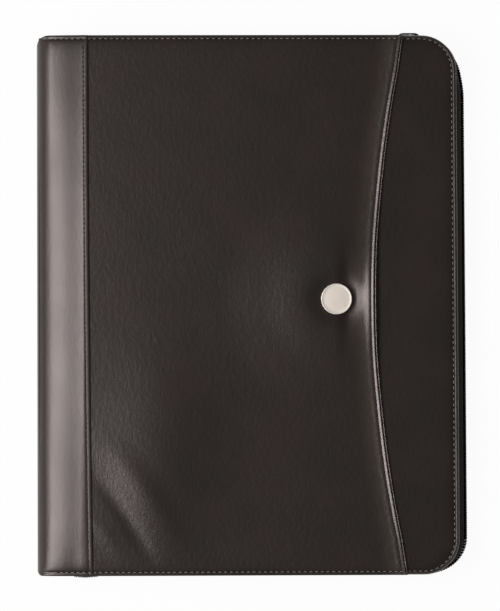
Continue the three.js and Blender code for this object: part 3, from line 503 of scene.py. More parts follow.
def spine_end_turns():
    """The wrap's ends, turned in over the spine's board."""
    bend = np.linspace(-math.pi / 2, math.pi / 2, 9)
    xs = np.concatenate([[1.5, 1.5], 2.2 + 0.7 * np.sin(bend), [2.9, 2.9]])
    insets = np.concatenate([[5.2, 3.4], 2.0 - 0.7 * np.cos(bend), [3.4, 5.2]])
    for head, end in ((1, "head"), (-1, "foot")):
        shape = lambda i, j, head=head: (xs[i], head * (HALF - insets[i]), 5.6 + 10.9 * j / 12)
        turn = lay_sheet(f"spine_{end}_turn", len(xs) - 1, 12, shape, turned_over=head > 0)
        thicken(turn, 0.6, 0.1, middle=True)
        finish_piece(turn, LEATHER, "leather", "spine")


# Outside pocket, with its columns close together where the mouth is turned and sewn
MOUTH_STEPS = np.array([0, 0.25, 0.6, 0.95, 1.3, 1.55, 1.85, 2.3, 2.9, 3.6, 4.4, 5.4, 6.6, 8, 9.8, 11.8, 14])


def pocket_panel():
    """The pocket's outer leather, from under the strip to its turned mouth."""
    ys = rows_along(160)
    across = 84
    columns = across + len(MOUTH_STEPS) - 1

    def shape(i, j):
        y = ys[j]
        k = columns - i
        near = MOUTH_STEPS[np.clip(k, 0, len(MOUTH_STEPS) - 1)]
        far = np.clip((k - len(MOUTH_STEPS) + 1) / across, 0, 1)
        x = rim_at(y) - near - (rim_at(y) - 14 - 22) * far
        return x, y, panel_face(x, y)

    # Lighter on the mouth's turned ridge and in a broad band inside it: rub wear, with a painted highlight on
    # the ridge and the band.
    rubbed_and_highlit_marks = lambda x, y: hump(rim_at(y) - x, 0.6, 1.0) + 0.35 * hump(rim_at(y) - x, 7, 4.0)
    pulled = lambda x, y: 0.85 * hump(x, 190, 12) * hump(y, SNAP_Y, 30)
    panel = lay_sheet("pocket_leather", columns, len(ys) - 1, shape, rubbed_and_highlit=rubbed_and_highlit_marks, taut=pulled)
    thicken(panel, 1.1, 0.3, segments=4)
    finish_piece(panel, LEATHER, "leather", "front_cover", replaces=["pocket_panel"])


def pocket_inner(name, reach, start, top, thickness, material, slot, columns):
    """A layer behind the pocket's leather: its facing at the mouth, or its lining."""
    ys = rows_along(60)

    def shape(i, j):
        y = ys[j]
        fore = rim_at(y) + reach
        x = start(y) + (fore - start(y)) * np.sin(i / columns * math.pi / 2)
        lift = snap_lift(np.minimum(x, rim_at(y)), y)
        close = 0.45 * smooth(x - rim_at(y), -2.2, 0.2)
        rise = close + 0.26 * np.clip(x - rim_at(y) + 0.5, 0, 1.7)
        z = top + lift + rise - 0.4 * edge_drop(HALF - np.abs(y))
        return x, y, np.minimum(z, panel_face(np.minimum(x, rim_at(y) - 3.2), y) - 1.2 + close)

    # The facing's edge past the rim is lighter: rub wear, with a painted highlight along that edge.
    rubbed_and_highlit_marks = lambda x, y: 0.8 * smooth(x - rim_at(y), 0.4, 1.0)
    layer = lay_sheet(name, columns, len(ys) - 1, shape, rubbed_and_highlit=rubbed_and_highlit_marks)
    thicken(layer, thickness, 0.2)
    finish_piece(layer, material, slot, "front_cover", replaces=[name.replace("_sheet", "")])


# Stitches, zip coils and other repeated pieces
def join(first, others):
    select_only(first)
    for other in others:
        other.select_set(True)
    bpy.ops.object.join()
    smooth_shading(first, 60)
    return first


def copies_along(name, model, places):
    """One piece from copies of a model, each with its own mesh, at the places given."""
    row = bpy.data.objects.new(name, bpy.data.meshes.new(name))
    bpy.context.scene.collection.objects.link(row)
    copies = [model.copy() for place in places]
    for copy, place in zip(copies, places):
        copy.data = model.data.copy()
        copy.matrix_world = place
        bpy.context.scene.collection.objects.link(copy)
    return join(row, copies)


def set_at(points, along, outwards):
    """Places at the points, with X along the seam and Z out of the surface."""
    places = []
    for point, forward, out in zip(points, along, outwards):
        forward = Vector(forward).normalized()
        side = Vector(out).cross(forward).normalized()
        places.append(place_at(point, forward, side, forward.cross(side)))
    return places


def place_at(point, x_axis, y_axis, z_axis):
    turn = Matrix((x_axis, y_axis, z_axis)).transposed().to_4x4()
    return Matrix.Translation(Vector(point)) @ turn


def thread_model(finish, half_length, half_width, half_height, segments=7, rings=5):
    """A short rounded thread that lies along X. Its half sizes are in millimetres."""
    deselect()
    bpy.ops.mesh.primitive_uv_sphere_add(segments=segments, ring_count=rings, radius=1)
    thread = bpy.context.object
    thread.rotation_euler = (0, math.pi / 2, 0)
    thread.scale = (half_height / 1000, half_width / 1000, half_length / 1000)
    settle(thread)
    thread.data.materials.append(finish)
    return thread


def stitch_model(finish, half_length, half_width, hole_radius):
    """One stitch: a short thread, and a flat near-black disc where it goes down, a painted shadow standing
    for the hole.
    """
    thread = thread_model(finish, half_length, half_width, 0.3)
    deselect()
    middle = (STITCH_PITCH / 2000, 0, -0.00004)
    hole_size = {"vertices": 8, "radius": hole_radius / 1000, "depth": 0.00012}
    bpy.ops.mesh.primitive_cylinder_add(location=middle, **hole_size)
    hole = bpy.context.object
    hole.scale = (1.7, 1, 1)
    hole.data.materials.append(NEEDLE_HOLE_SHADE)
    settle(hole)
    return join(thread, [hole])


def sew(name, line, body, out=UP, pitch=STITCH_PITCH, stitch=None):
    """A row of stitches along a line of points in millimetres."""
    line = np.array(line, float)
    lengths = np.linalg.norm(np.diff(line, axis=0), axis=1)
    run = np.concatenate([[0], np.cumsum(lengths)])
    at = np.arange(pitch * 0.6, run[-1] - pitch * 0.4, pitch)
    place = lambda s: np.stack([np.interp(s, run, line[:, k]) for k in range(3)], axis=-1)
    points = place(at)
    along = place(np.minimum(at + 0.8, run[-1])) - place(np.maximum(at - 0.8, 0))
    row = copies_along(name, stitch or STITCH, set_at(to_metres(*points.T), along, [out] * len(at)))
    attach(row, body)


def on_edge(distance):
    """The point on the covers' edge at a distance along it, and the way out of it."""
    d = np.asarray(distance, float)
    angle = np.where(d <= FORE_START, d - FORE_START, np.maximum(d - HEAD_CORNER, 0)) / CORNER_R
    angle = np.clip(angle, -math.pi / 2, math.pi / 2)
    nx, ny = np.cos(angle), np.sin(angle)
    x = CORNER_X + CORNER_R * nx + np.minimum(d - STRAIGHT, 0) - np.maximum(d - HEAD_START, 0)
    y = np.clip(d - FORE_START - CORNER_Y, -CORNER_Y, CORNER_Y) + CORNER_R * ny
    return x, y, nx, ny


def edge_seam(name, front, body):
    """The seam round foot, fore-edge and head that holds the zip's tape and the pocket."""
    distance = np.linspace(-6, ZIP_LENGTH + 6, 1200)
    x, y, nx, ny = on_edge(distance)
    inset = SEAM_INSET + 0.8 * nx**2 if front else SEAM_INSET
    x, y = x - nx * inset - fore_shift(x, y) * front, y - ny * inset
    if front:
        past_strip = np.where(x < rim_at(y) - 0.5, panel_face(x, y), FRONT_SEAM)
        z = np.where(x < strip_edge(y), strip_face(x, y), past_strip)
        sew(name, np.column_stack([x, y, z + 0.1]), body, pitch=3.35)
    else:
        sew(name, np.column_stack([x, y, np.full(len(x), 0.55)]), body, out=DOWN)


def outside_seams():
    edge_seam("front_edge_stitches", True, "front_cover")
    edge_seam("back_edge_stitches", False, "back_cover")
    y = np.linspace(-HALF + 4.5, HALF - 4.5, 400)
    x = strip_edge(y) - 2.8
    line = np.column_stack([x, y, strip_face(x, y) + 0.08])
    sew("strip_stitches", line, "front_cover", pitch=SUNK_PITCH, stitch=SUNK_STITCH)
    sew("back_strip_stitches", np.column_stack([x, y, 0 * x + 0.06]), "back_cover", out=DOWN)
    x = rim_at(y) - 2.1
    line = np.column_stack([x, y, panel_face(x, y) + 0.12])
    sew("mouth_stitches", line, "front_cover", pitch=SUNK_PITCH, stitch=SUNK_STITCH)


def bar_tack():
    """Close stitches round the foot edge, where the zip begins."""
    x = np.arange(22.4, 36.4, 0.95)
    y = -158.9 - 0.55 * hump(x, 28.4, 5.0)
    z = np.where(x < strip_edge(y), strip_face(x, y), panel_face(x, y)) - 0.1
    loop = thread_model(TACK_THREAD, 1.15, 0.5, 0.55, segments=8, rings=6)
    along = [(0.08, 1, 0.25)] * len(x)
    tack = copies_along("foot_bar_tack", loop, set_at(to_metres(x, y, z), along, [UP] * len(x)))
    bpy.data.objects.remove(loop)
    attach(tack, "front_cover")


# Zip
def past_corner(d):
    """0 along the fore-edge, 1 along the head."""
    return smooth(d, HEAD_CORNER - 16, HEAD_CORNER + 24)


def coil_reach(d):
    """How far the closed zip bulges past the covers' edge, at a distance along it."""
    foot = mix(1.4, 0.3, smooth(d, 14.5, 28.5))
    fore = mix(5.2, 4.1, np.clip((d - FORE_START) / (2 * CORNER_Y), 0, 1))
    reach = mix(foot, fore, smooth(d, STRAIGHT, FORE_START))
    return mix(reach, -1.8, past_corner(d))


def parted(d):
    """0 where the coils mesh, 1 past the slider's post."""
    return smooth(d, HEAD_END - (SLIDER_X + 5.8), HEAD_END - (SLIDER_X - 2.175))


def zip_tape(front):
    """One half of the tape, from its seam in the cover out past the edge and up or down to the coil."""
    marks = np.linspace(0, ZIP_LENGTH, 481)
    reach, gap = coil_reach(marks), mix(COIL_GAP, PARTED_GAP, parted(marks))
    face = reach - mix(2.42, 2.7, past_corner(marks))
    drop = mix(0.85, 2.3, (reach + 1.8) / 7)
    column = lambda values: np.stack(np.broadcast_arrays(*values), axis=1)
    out = column([-9.2, -5, -1.5, -0.7, (face - 0.9) / 2, face, face, face])
    height = column([3.85, 3.85, 3.87, 4.7, 5.1 + 0.3 * drop, 4.9 + drop, 8, 11.05 - gap])
    steps = np.linspace(0, 7, 22)

    def eased(table, station):
        left = np.clip(np.floor(steps), 0, 6).astype(int)
        values = table[station]
        return mix(values[:, left], values[:, left + 1], smooth(steps - left, -0.15, 1.15))

    def shape(i, j):
        x, y, nx, ny = on_edge(marks[j])
        pick = np.arange(len(i))
        across, z = eased(out, j)[pick, i], eased(height, j)[pick, i]
        return x + nx * across, y + ny * across, FRONT_FACE - z if front else z

    name = "front" if front else "back"
    tape = lay_sheet(f"{name}_tape_cloth", 21, 480, shape, turned_over=front)
    thicken(tape, 0.55, middle=True)
    finish_piece(tape, TAPE, "zip_tape", f"{name}_cover", replaces=[f"{name}_zip_tape"])


def zip_coils():
    """The coils as single turns, meshed as far as the slider and parted past it."""
    deselect()
    bpy.ops.mesh.primitive_torus_add(major_segments=11, minor_segments=5, major_radius=1, minor_radius=0.44)
    turn = bpy.context.object
    turn.scale = (0.000765, 0.00107, 0.00098)
    settle(turn)
    turn.data.materials.append(COIL)
    for front in (True, False):
        d = np.arange(14.9 + (COIL_PITCH / 2 if front else 0), HEAD_END - 30.0, COIL_PITCH)
        x, y, nx, ny = on_edge(d)
        reach, apart = coil_reach(d) - 1.1, parted(d)
        z = MID - mix(COIL_GAP, PARTED_GAP, apart) - 1.35 + 0.3 * (1 - apart)
        points = to_metres(x + nx * reach, y + ny * reach, FRONT_FACE - z if front else z)
        places = []
        for point, ex, ey in zip(points, nx, ny):
            along = Vector((-ey, ex, 0))
            lean = (Vector((ex, ey, 0)) + along * 0.3).normalized()
            places.append(place_at(point, lean, Vector(UP), along))
        name = "front" if front else "back"
        coil = copies_along(f"{name}_coil_turns", turn, places)
        finish_piece(coil, COIL, "zip_coil", f"{name}_cover", replaces=[f"{name}_zip_coil"])
    bpy.data.objects.remove(turn)


# Snap
def snap_cap():
    """A turned cap with a rounded rim and a plain crowned field."""
    foot, height = POCKET_TOP + SWELL + 0.1, 1.7
    deselect()
    middle = to_metres(SNAP_X, SNAP_Y, foot + height / 2)
    cap_size = {"vertices": 96, "radius": CAP_R / 1000, "depth": height / 1000}
    bpy.ops.mesh.primitive_cylinder_add(location=middle, **cap_size)
    cap = bpy.context.object
    cap.name = cap.data.name = "snap_cap_turned"
    settle(cap)
    edit_only(cap, "FACE", lambda face: face.normal.z > 0.9)
    bpy.ops.mesh.inset(thickness=0.0006)
    bpy.ops.mesh.inset(thickness=0.0002)
    bpy.ops.transform.translate(value=(0, 0, -0.00005))
    for thickness, rise in ((0.9, 0.0), (1.5, 0.03), (1.5, 0.03), (1.5, 0.02), (1.4, 0.01), (0.8, 0.0)):
        bpy.ops.mesh.inset(thickness=thickness / 1000)
        bpy.ops.transform.translate(value=(0, 0, rise / 1000))
    stop_editing()
    edit_only(cap, "FACE", lambda face: face.normal.z < -0.9)
    bpy.ops.mesh.inset(thickness=(CAP_R - 2) / 1000)
    bpy.ops.mesh.extrude_region_move(TRANSFORM_OT_translate={"value": (0, 0, -0.002)})
    stop_editing()
    near = 0.0001
    centre = Vector(to_metres(SNAP_X, SNAP_Y, foot + height))
    points = [corner.co - centre for corner in cap.data.vertices]
    on_rim = [point.z > -near and math.hypot(point.x, point.y) > CAP_R / 1000 - near for point in points]
    edit_only(cap, "EDGE", lambda edge: all(on_rim[k] for k in edge.vertices))
    bpy.ops.mesh.bevel(offset=0.00032, segments=4, affect="EDGES")
    stop_editing()
    smooth_shading(cap, 55)
    finish_piece(cap, NICKEL, "nickel", "front_cover", replaces=["snap_cap"])


def lock_spring():
    """The leaf under the slider's bridge that locks the pull down."""
    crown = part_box("zip_slider")[1].y * 1000 - MIDDLE

    def shape(i, j):
        run = i / 12
        return SLIDER_X + mix(0.95, 5.0, run), crown - 1.3 - 0.25 * (1 - run) ** 2, MID - 0.85 + 1.7 * j / 4

    leaf = lay_sheet("slider_lock_spring", 12, 4, shape)
    thicken(leaf, 0.7, 0.12, middle=True)
    finish_piece(leaf, BLACK_METAL, "zip_metal", "zip_slider")


# Inside the folder
def pen_loop():
    ys = np.linspace(HALF - 87.5 - 32, HALF - 87.5, 33)
    turn = np.linspace(-math.pi / 2, -2.5 * math.pi, 37)
    xs = np.concatenate([[26.5, 24, 21.5, 19], 16.5 + 5.1 * np.cos(turn)])
    zs = np.concatenate([[5.25, 5.25, 5.27, 5.3], 10.4 + 5.1 * np.sin(turn)])
    loop = lay_sheet("pen_loop_elastic", len(xs) - 1, 32, lambda i, j: (xs[i], ys[j], zs[i]))
    thicken(loop, 0.7, 0.15, middle=True)
    finish_piece(loop, ELASTIC, "elastic", "back_cover", replaces=["pen_loop"])


def panel_columns(near):
    """Places across an inside panel, close together round its corner."""
    bend = PANEL_FORE - PANEL_CORNER
    round_corner = PANEL_CORNER * np.sin(np.linspace(0, 1, 13)[1:] * math.pi / 2)
    return np.concatenate([np.linspace(near, bend, 48), bend + round_corner])


def foot_line(x):
    """The foot edge of an inside panel, with its rounded corner at the fore-edge."""
    past = np.clip(x - (PANEL_FORE - PANEL_CORNER), 0, PANEL_CORNER)
    return PANEL_FOOT + PANEL_CORNER - np.sqrt(PANEL_CORNER**2 - past**2)


def panel_seam(near, first, lead, last, z):
    """The seam round an inside panel, from first at the spine down, along the foot and up to last."""
    line = [(near + 1.6, first, z), (near + 1.6, PANEL_FOOT + 1.6, z)]
    line += [(x, foot_line(x) + 1.6, z) for x in np.linspace(near + lead, PANEL_FORE - 5, 60)]
    return line + [(PANEL_FORE - 1.6, y, z) for y in (PANEL_FOOT + 12, last)]


def pad_slot():
    head, near = -20.0, 25.5
    xs = panel_columns(near)

    def shape(i, j):
        x = xs[i]
        low = foot_line(x)
        y = low + (head - low) * j / 50
        margin = np.minimum(np.minimum(x - near, PANEL_FORE - x), y - low)
        hem = 0.18 * (1 - smooth(head - y, 5.5, 6.5))
        return x, y, 5.55 + 0.75 * smooth(margin, 2.4, 5.5) + hem + unevenness(x, y) * 0.5

    rubbed_and_highlit_marks = lambda x, y: 0.7 * hump(head - y, 0, 1.2)
    slot = lay_sheet("pad_slot_leather", len(xs) - 1, 50, shape, rubbed_and_highlit=rubbed_and_highlit_marks)
    thicken(slot, 0.55, 0.15)
    finish_piece(slot, SOFT_LEATHER, "leather", "back_cover", replaces=["pad_slot_panel"])
    sew("pad_slot_stitches", panel_seam(near, head - 2, 4, head - 2, 5.6), "back_cover")
    sew("pad_slot_hem_stitches", [(near + 4, head - 5, 6.45), (PANEL_FORE - 4, head - 5, 6.45)], "back_cover")


def document_pocket():
    head, dip, near = 22.0, -4.0, 26.0
    xs = panel_columns(near)
    mouth = lambda x: dip + ((PANEL_FORE - x) / (PANEL_FORE - near)) ** 2 * (head - dip)

    def shape(i, j):
        x = xs[i]
        low = foot_line(x)
        y = low + (mouth(x) - low) * j / 50
        return x, y, 16.75 - 0.25 * (1 - smooth(mouth(x) - y, 6, 7.2)) + unevenness(x, y)

    pocket = lay_sheet("document_pocket_cloth", len(xs) - 1, 50, shape, turned_over=True)
    thicken(pocket, 0.5, 0.12)
    finish_piece(pocket, LINING, "lining", "front_cover", replaces=["document_pocket"])
    sew("document_pocket_stitches", panel_seam(near, head - 3, 3, dip - 3, 16.72), "front_cover", out=DOWN)
    hem = [(x, mouth(x) - 5.2, 16.48) for x in np.linspace(near + 4, PANEL_FORE - 4, 80)]
    sew("document_pocket_hem_stitches", hem, "front_cover", out=DOWN)


def card_pockets():
    wide, high, fore = 96, 56, COVER_WIDTH - 21.6
    near = fore - wide
    for number in range(3):
        head = HALF - 33.5 - number * 15
        foot = head - high
        face = 16.7 - number * 0.7

        def shape(i, j, head=head, foot=foot, face=face):
            x = near + wide * i / 32
            y = foot + high * j / 28
            dip = 2.2 * hump(x, (near + fore) / 2, 14) * smooth(y, foot + 20, head)
            hem = 0.12 * (1 - smooth(head - y, 3.5, 4.5))
            return x, y - dip, face + 0.05 - hem + unevenness(x, y) * 0.4

        rubbed_and_highlit_marks = lambda x, y, head=head: 0.7 * hump(head - y, 0, 1.6)
        pocket = lay_sheet(f"card_pocket_leather_{number + 1}", 32, 28, shape, turned_over=True, rubbed_and_highlit=rubbed_and_highlit_marks)
        thicken(pocket, 0.5, 0.14)
        finish_piece(pocket, SOFT_LEATHER, "leather", "front_cover", replaces=[f"card_pocket_{number + 1}"])
        left, right, top, low = near + 1.5, fore - 1.5, head - 2, foot + 1.5
        sides = [(left, top, face), (left, low, face), (right, low, face), (right, top, face)]
        sew(f"card_pocket_stitches_{number + 1}", sides, "front_cover", out=DOWN)


def pad_binding():
    ys = np.array([135.5, 142, 149.4, 149.68, 149.74, 149.75, 149.75, 149.68, 149.4, 146, 140, 135.5]) - 0.05
    zs = np.array([6.12, 6.12, 6.12, 6.2, 6.5, 8.5, 10.8, 11.15, 11.25, 11.25, 11.25, 11.25])
    shape = lambda i, j: (28.5 + 210 * i / 40, ys[j], zs[j])

    tape = lay_sheet("pad_binding_tape", 40, len(ys) - 1, shape, turned_over=True)
    thicken(tape, 0.28, 0.06, middle=True)
    finish_piece(tape, BINDING, "binding", "back_cover", replaces=["pad_binding"])


# Finishes
def node(tree, kind, sockets=None, **settings):
    made = tree.nodes.new("ShaderNode" + kind)
    for name, value in settings.items():
        setattr(made, name, value)
    for name, value in (sockets or {}).items():
        socket = made.inputs[name]
        if isinstance(value, bpy.types.NodeSocket):
            tree.links.new(value, socket)
        else:
            socket.default_value = value
    return made


def math_node(tree, operation, first, second=0.0):
    return node(tree, "Math", {0: first, 1: second}, operation=operation).outputs[0]


def times(tree, first, second):
    return node(tree, "Math", {0: first, 1: second}, operation="MULTIPLY").outputs[0]


def shade_between(tree, share, first, second):
    return node(tree, "Mix", {0: share, 6: first, 7: second}, data_type="RGBA").outputs[2]


def spread(tree, value, low, high):
    """A value from 0 to 1, spread from low to high."""
    return node(tree, "MapRange", {0: value, 3: low, 4: high}).outputs[0]


def new_group(name, inputs, outputs):
    group = bpy.data.node_groups.new(name, "ShaderNodeTree")
    for label, kind, value in inputs:
        socket = group.interface.new_socket(name=label, in_out="INPUT", socket_type=f"NodeSocket{kind}")
        if kind == "Float":
            socket.default_value = value
    for label, kind in outputs:
        group.interface.new_socket(name=label, in_out="OUTPUT", socket_type=f"NodeSocket{kind}")
    return group, group.nodes.new("NodeGroupInput"), group.nodes.new("NodeGroupOutput")


def noise(tree, place, scale, detail=2.0, roughness=0.5):
    sockets = {"Vector": place, "Scale": scale, "Detail": detail, "Roughness": roughness}
    return node(tree, "TexNoise", sockets).outputs["Fac"]


def layers(tree, value, scale):
    """Noise along one value only, as rings or stacked sheets are."""
    counted = {"W": times(tree, value, scale)}
    return node(tree, "TexNoise", counted, noise_dimensions="1D").outputs["Fac"]


def object_place(tree):
    return node(tree, "TexCoord").outputs["Object"]


def tones(colour, darker, lighter):
    return (*(c * darker for c in colour), 1), (*(min(c * lighter, 1) for c in colour), 1)


def grain_group():
    """Leather grain: small cells with creases between them, pores, pebbles, and a slow mottle."""
    inputs = [("Place", "Vector", None), ("Cell", "Float", 900.0)]
    group, given, result = new_group("leather_grain", inputs, [("Height", "Float"), ("Mottle", "Float")])
    place = given.outputs["Place"]
    warp = node(group, "TexNoise", {"Vector": place, "Scale": 260.0, "Detail": 2.0})
    bent = node(group, "VectorMath", {0: warp.outputs["Color"], 1: (0.0009,) * 3}, operation="MULTIPLY")
    moved = node(group, "VectorMath", {0: place, 1: bent.outputs[0]}, operation="ADD")
    sockets = {"Vector": moved.outputs[0], "Scale": given.outputs["Cell"]}
    cells = node(group, "TexVoronoi", sockets, feature="DISTANCE_TO_EDGE")
    crease = spread(group, times(group, cells.outputs["Distance"], 4.0), 0.0, 1.0)
    pores = noise(group, place, 2600.0)
    height = math_node(group, "ADD", crease, times(group, pores, 0.5))
    drawn = node(group, "Mapping", {"Vector": place, "Scale": (1.0, 0.6, 1.0)})
    pebbles = noise(group, drawn.outputs[0], 460.0, 3.0, 0.55)
    height = math_node(group, "ADD", height, times(group, pebbles, 7.6))
    group.links.new(height, result.inputs["Height"])
    group.links.new(noise(group, place, 34.0, 5.0, 0.6), result.inputs["Mottle"])
    return group


def weave_group():
    """Crossing threads, from a place that is already counted in threads."""
    group, given, result = new_group("weave", [("Threads", "Vector", None)], [("Height", "Float")])
    axes = node(group, "SeparateXYZ", {0: given.outputs["Threads"]})
    turns = [times(group, axes.outputs[k], 2 * math.pi) for k in (0, 1)]
    first, second = (math_node(group, "SINE", turn) for turn in turns)
    over = times(group, first, second)
    height = math_node(group, "ADD", over, times(group, first, 0.5))
    group.links.new(spread(group, height, 0.2, 0.8), result.inputs["Height"])
    return group


def rub_and_highlight_group():
    """Rubbed edges: the painted wear and painted highlight, broken up by noise."""
    inputs = [("Place", "Vector", None), ("Rubbed and highlit", "Float", 0.0)]
    group, given, result = new_group("painted_rub_and_highlight", inputs, [("Rub and highlight", "Float")])
    patches = spread(group, noise(group, given.outputs["Place"], 190.0, 4.0), 0.35, 1.35)
    share = times(group, given.outputs["Rubbed and highlit"], patches)
    group.links.new(math_node(group, "MINIMUM", share, 1.0), result.inputs["Rub and highlight"])
    return group


def new_finish(name, roughness=0.5, metallic=0.0, **plain):
    material = bpy.data.materials.new(name)
    material.use_nodes = True
    tree = material.node_tree
    shader = tree.nodes["Principled BSDF"]
    shader.inputs["Roughness"].default_value = roughness
    shader.inputs["Metallic"].default_value = metallic
    for label, value in plain.items():
        shader.inputs[label.replace("_", " ")].default_value = value
    return material, tree, shader


def paint(tree, shader, share, first, second):
    tree.links.new(shade_between(tree, share, first, second), shader.inputs["Base Color"])


def bump(tree, shader, height, depth):
    made = node(tree, "Bump", {"Height": height, "Distance": depth / 1000})
    tree.links.new(made.outputs[0], shader.inputs["Normal"])


def leather(name, colour, rubbed_and_highlit_colour, roughness, cell, depth, gloss=0.5):
    material, tree, shader = new_finish(name, Specular_IOR_Level=gloss, Specular_Tint=(1.0, 0.885, 0.88, 1))
    place = object_place(tree)
    grain = node(tree, "Group", {"Place": place, "Cell": cell}, node_tree=GRAIN)
    # The rubbed mark draws the colour towards the lighter rubbed colour: rub wear, and a painted highlight on
    # lit edges and ridges.
    rubbed_and_highlit = node(tree, "Attribute", attribute_name="rubbed_and_highlit").outputs["Fac"]
    rub_and_highlight = node(tree, "Group", {"Place": place, "Rubbed and highlit": rubbed_and_highlit}, node_tree=RUB_AND_HIGHLIGHT).outputs["Rub and highlight"]
    red, green, blue = colour
    darker, lighter = (red * 0.6, green * 0.74, blue * 0.7, 1), (red * 1.5, green * 1.22, blue * 1.4, 1)
    base = shade_between(tree, spread(tree, grain.outputs["Mottle"], -0.5, 1.5), darker, lighter)
    paint(tree, shader, rub_and_highlight, base, (*rubbed_and_highlit_colour, 1))
    matt = spread(tree, grain.outputs["Mottle"], roughness + 0.05, roughness - 0.04)
    polished = times(tree, rub_and_highlight, -0.09)
    tree.links.new(math_node(tree, "ADD", matt, polished), shader.inputs["Roughness"])
    pulled_flat = spread(tree, node(tree, "Attribute", attribute_name="taut").outputs["Fac"], 1.0, 0.2)
    bump(tree, shader, times(tree, grain.outputs["Height"], pulled_flat), depth)
    return material


def cloth(name, colour, across, along, from_uv=False, depth=0.05, sheen=0.2):
    """Woven cloth. The threads are counted to the metre, or to the sheet where it has its own map."""
    material, tree, shader = new_finish(name, 0.85, Sheen_Weight=sheen, Sheen_Roughness=0.5)
    coordinates = node(tree, "TexCoord")
    place = coordinates.outputs["UV"] if from_uv else coordinates.outputs["Object"]
    turned = 0.0 if from_uv else math.radians(38)
    sockets = {"Vector": place, "Rotation": (0, 0, turned), "Scale": (across, along, 1)}
    threads = node(tree, "Mapping", sockets).outputs[0]
    weave = node(tree, "Group", {"Threads": threads}, node_tree=WEAVE).outputs["Height"]
    uneven = noise(tree, coordinates.outputs["Object"], 420.0, 4.0)
    # The colour follows the weave's height: painted shade between the threads and lighter crests, broken up
    # by noise.
    share = times(tree, spread(tree, weave, 0.3, 1.0), uneven)
    paint(tree, shader, share, *tones(colour, 0.6, 1.5))
    bump(tree, shader, weave, depth)
    return material


def metal(name, colour, roughness, metallic=1.0, ring_centre=None, scratch=0.012):
    """Plated or lacquered metal, with fine turning rings where a centre is given."""
    material, tree, shader = new_finish(name, metallic=metallic)
    place = object_place(tree)
    height = noise(tree, place, 1900.0, 3.0)
    cloudy = noise(tree, place, 160.0, 4.0)
    if ring_centre is not None:
        centred = node(tree, "Mapping", {"Vector": place, "Location": tuple(-c for c in ring_centre)})
        flat = node(tree, "VectorMath", {0: centred.outputs[0], 1: (1, 1, 0)}, operation="MULTIPLY")
        radius = node(tree, "VectorMath", {0: flat.outputs[0]}, operation="LENGTH").outputs["Value"]
        rings = layers(tree, radius, 9000.0)
        height = math_node(tree, "ADD", times(tree, height, 0.4), rings)
    paint(tree, shader, cloudy, *tones(colour, 0.93, 1.05))
    tree.links.new(spread(tree, cloudy, roughness - 0.04, roughness + 0.06), shader.inputs["Roughness"])
    bump(tree, shader, height, scratch)
    return material


def board(name, colour, fibre):
    material, tree, shader = new_finish(name, 0.9)
    place = object_place(tree)
    flecks = noise(tree, place, fibre, 6.0, 0.7)
    specks = node(tree, "TexVoronoi", {"Vector": place, "Scale": fibre * 0.6})
    share = times(tree, flecks, spread(tree, specks.outputs["Distance"], 1.2, 0.5))
    paint(tree, shader, share, *tones(colour, 0.65, 1.25))
    bump(tree, shader, flecks, 0.05)
    return material


def paper():
    """White paper, faintly ruled on its top sheet, with the sheets' edges round its sides."""
    material, tree, shader = new_finish("pad_paper", 0.85)
    place = object_place(tree)
    axes = node(tree, "SeparateXYZ", {0: place})
    facing = node(tree, "SeparateXYZ", {0: node(tree, "NewGeometry").outputs["Normal"]}).outputs["Z"]
    on_top = math_node(tree, "GREATER_THAN", facing, 0.9)
    down = math_node(tree, "FRACT", times(tree, axes.outputs["Y"], 1000 / 8.0))
    rule = math_node(tree, "LESS_THAN", down, 0.04)
    below_head = math_node(tree, "LESS_THAN", axes.outputs["Y"], 0.118)
    ruled = times(tree, times(tree, rule, below_head), on_top)
    edges = layers(tree, axes.outputs["Z"], 14000.0)
    grey = shade_between(tree, edges, (0.6, 0.58, 0.52, 1), (0.92, 0.9, 0.85, 1))
    side = shade_between(tree, on_top, grey, (0.86, 0.84, 0.79, 1))
    paint(tree, shader, ruled, side, (0.45, 0.55, 0.68, 1))
    bump(tree, shader, noise(tree, place, 900.0, 4.0), 0.015)
    return material


def thread_finish(name, dark, light, roughness):
    material, tree, shader = new_finish(name, roughness)
    sockets = {"Vector": object_place(tree), "Scale": 900.0, "Distortion": 2.0}
    ply = node(tree, "TexWave", sockets, bands_direction="DIAGONAL").outputs["Fac"]
    # The ply's wave sets the colour as well as the bump: painted shade in the grooves between the plies.
    paint(tree, shader, ply, (*dark, 1), (*light, 1))
    bump(tree, shader, ply, 0.02)
    return material


# Painted shade: each needle hole is a flat near-black disc on the leather, not a real hole.
def needle_hole_finish():
    material, tree, shader = new_finish("needle_hole_painted_shade", 0.9, Specular_IOR_Level=0.1)
    # The noise varies the painted shade of the hole a little.
    hole_shade_noise = noise(tree, object_place(tree), 3000.0)
    paint(tree, shader, hole_shade_noise, (0.002, 0.0015, 0.001, 1), (0.008, 0.006, 0.005, 1))
    return material


GRAIN = grain_group()
WEAVE = weave_group()
RUB_AND_HIGHLIGHT = rub_and_highlight_group()
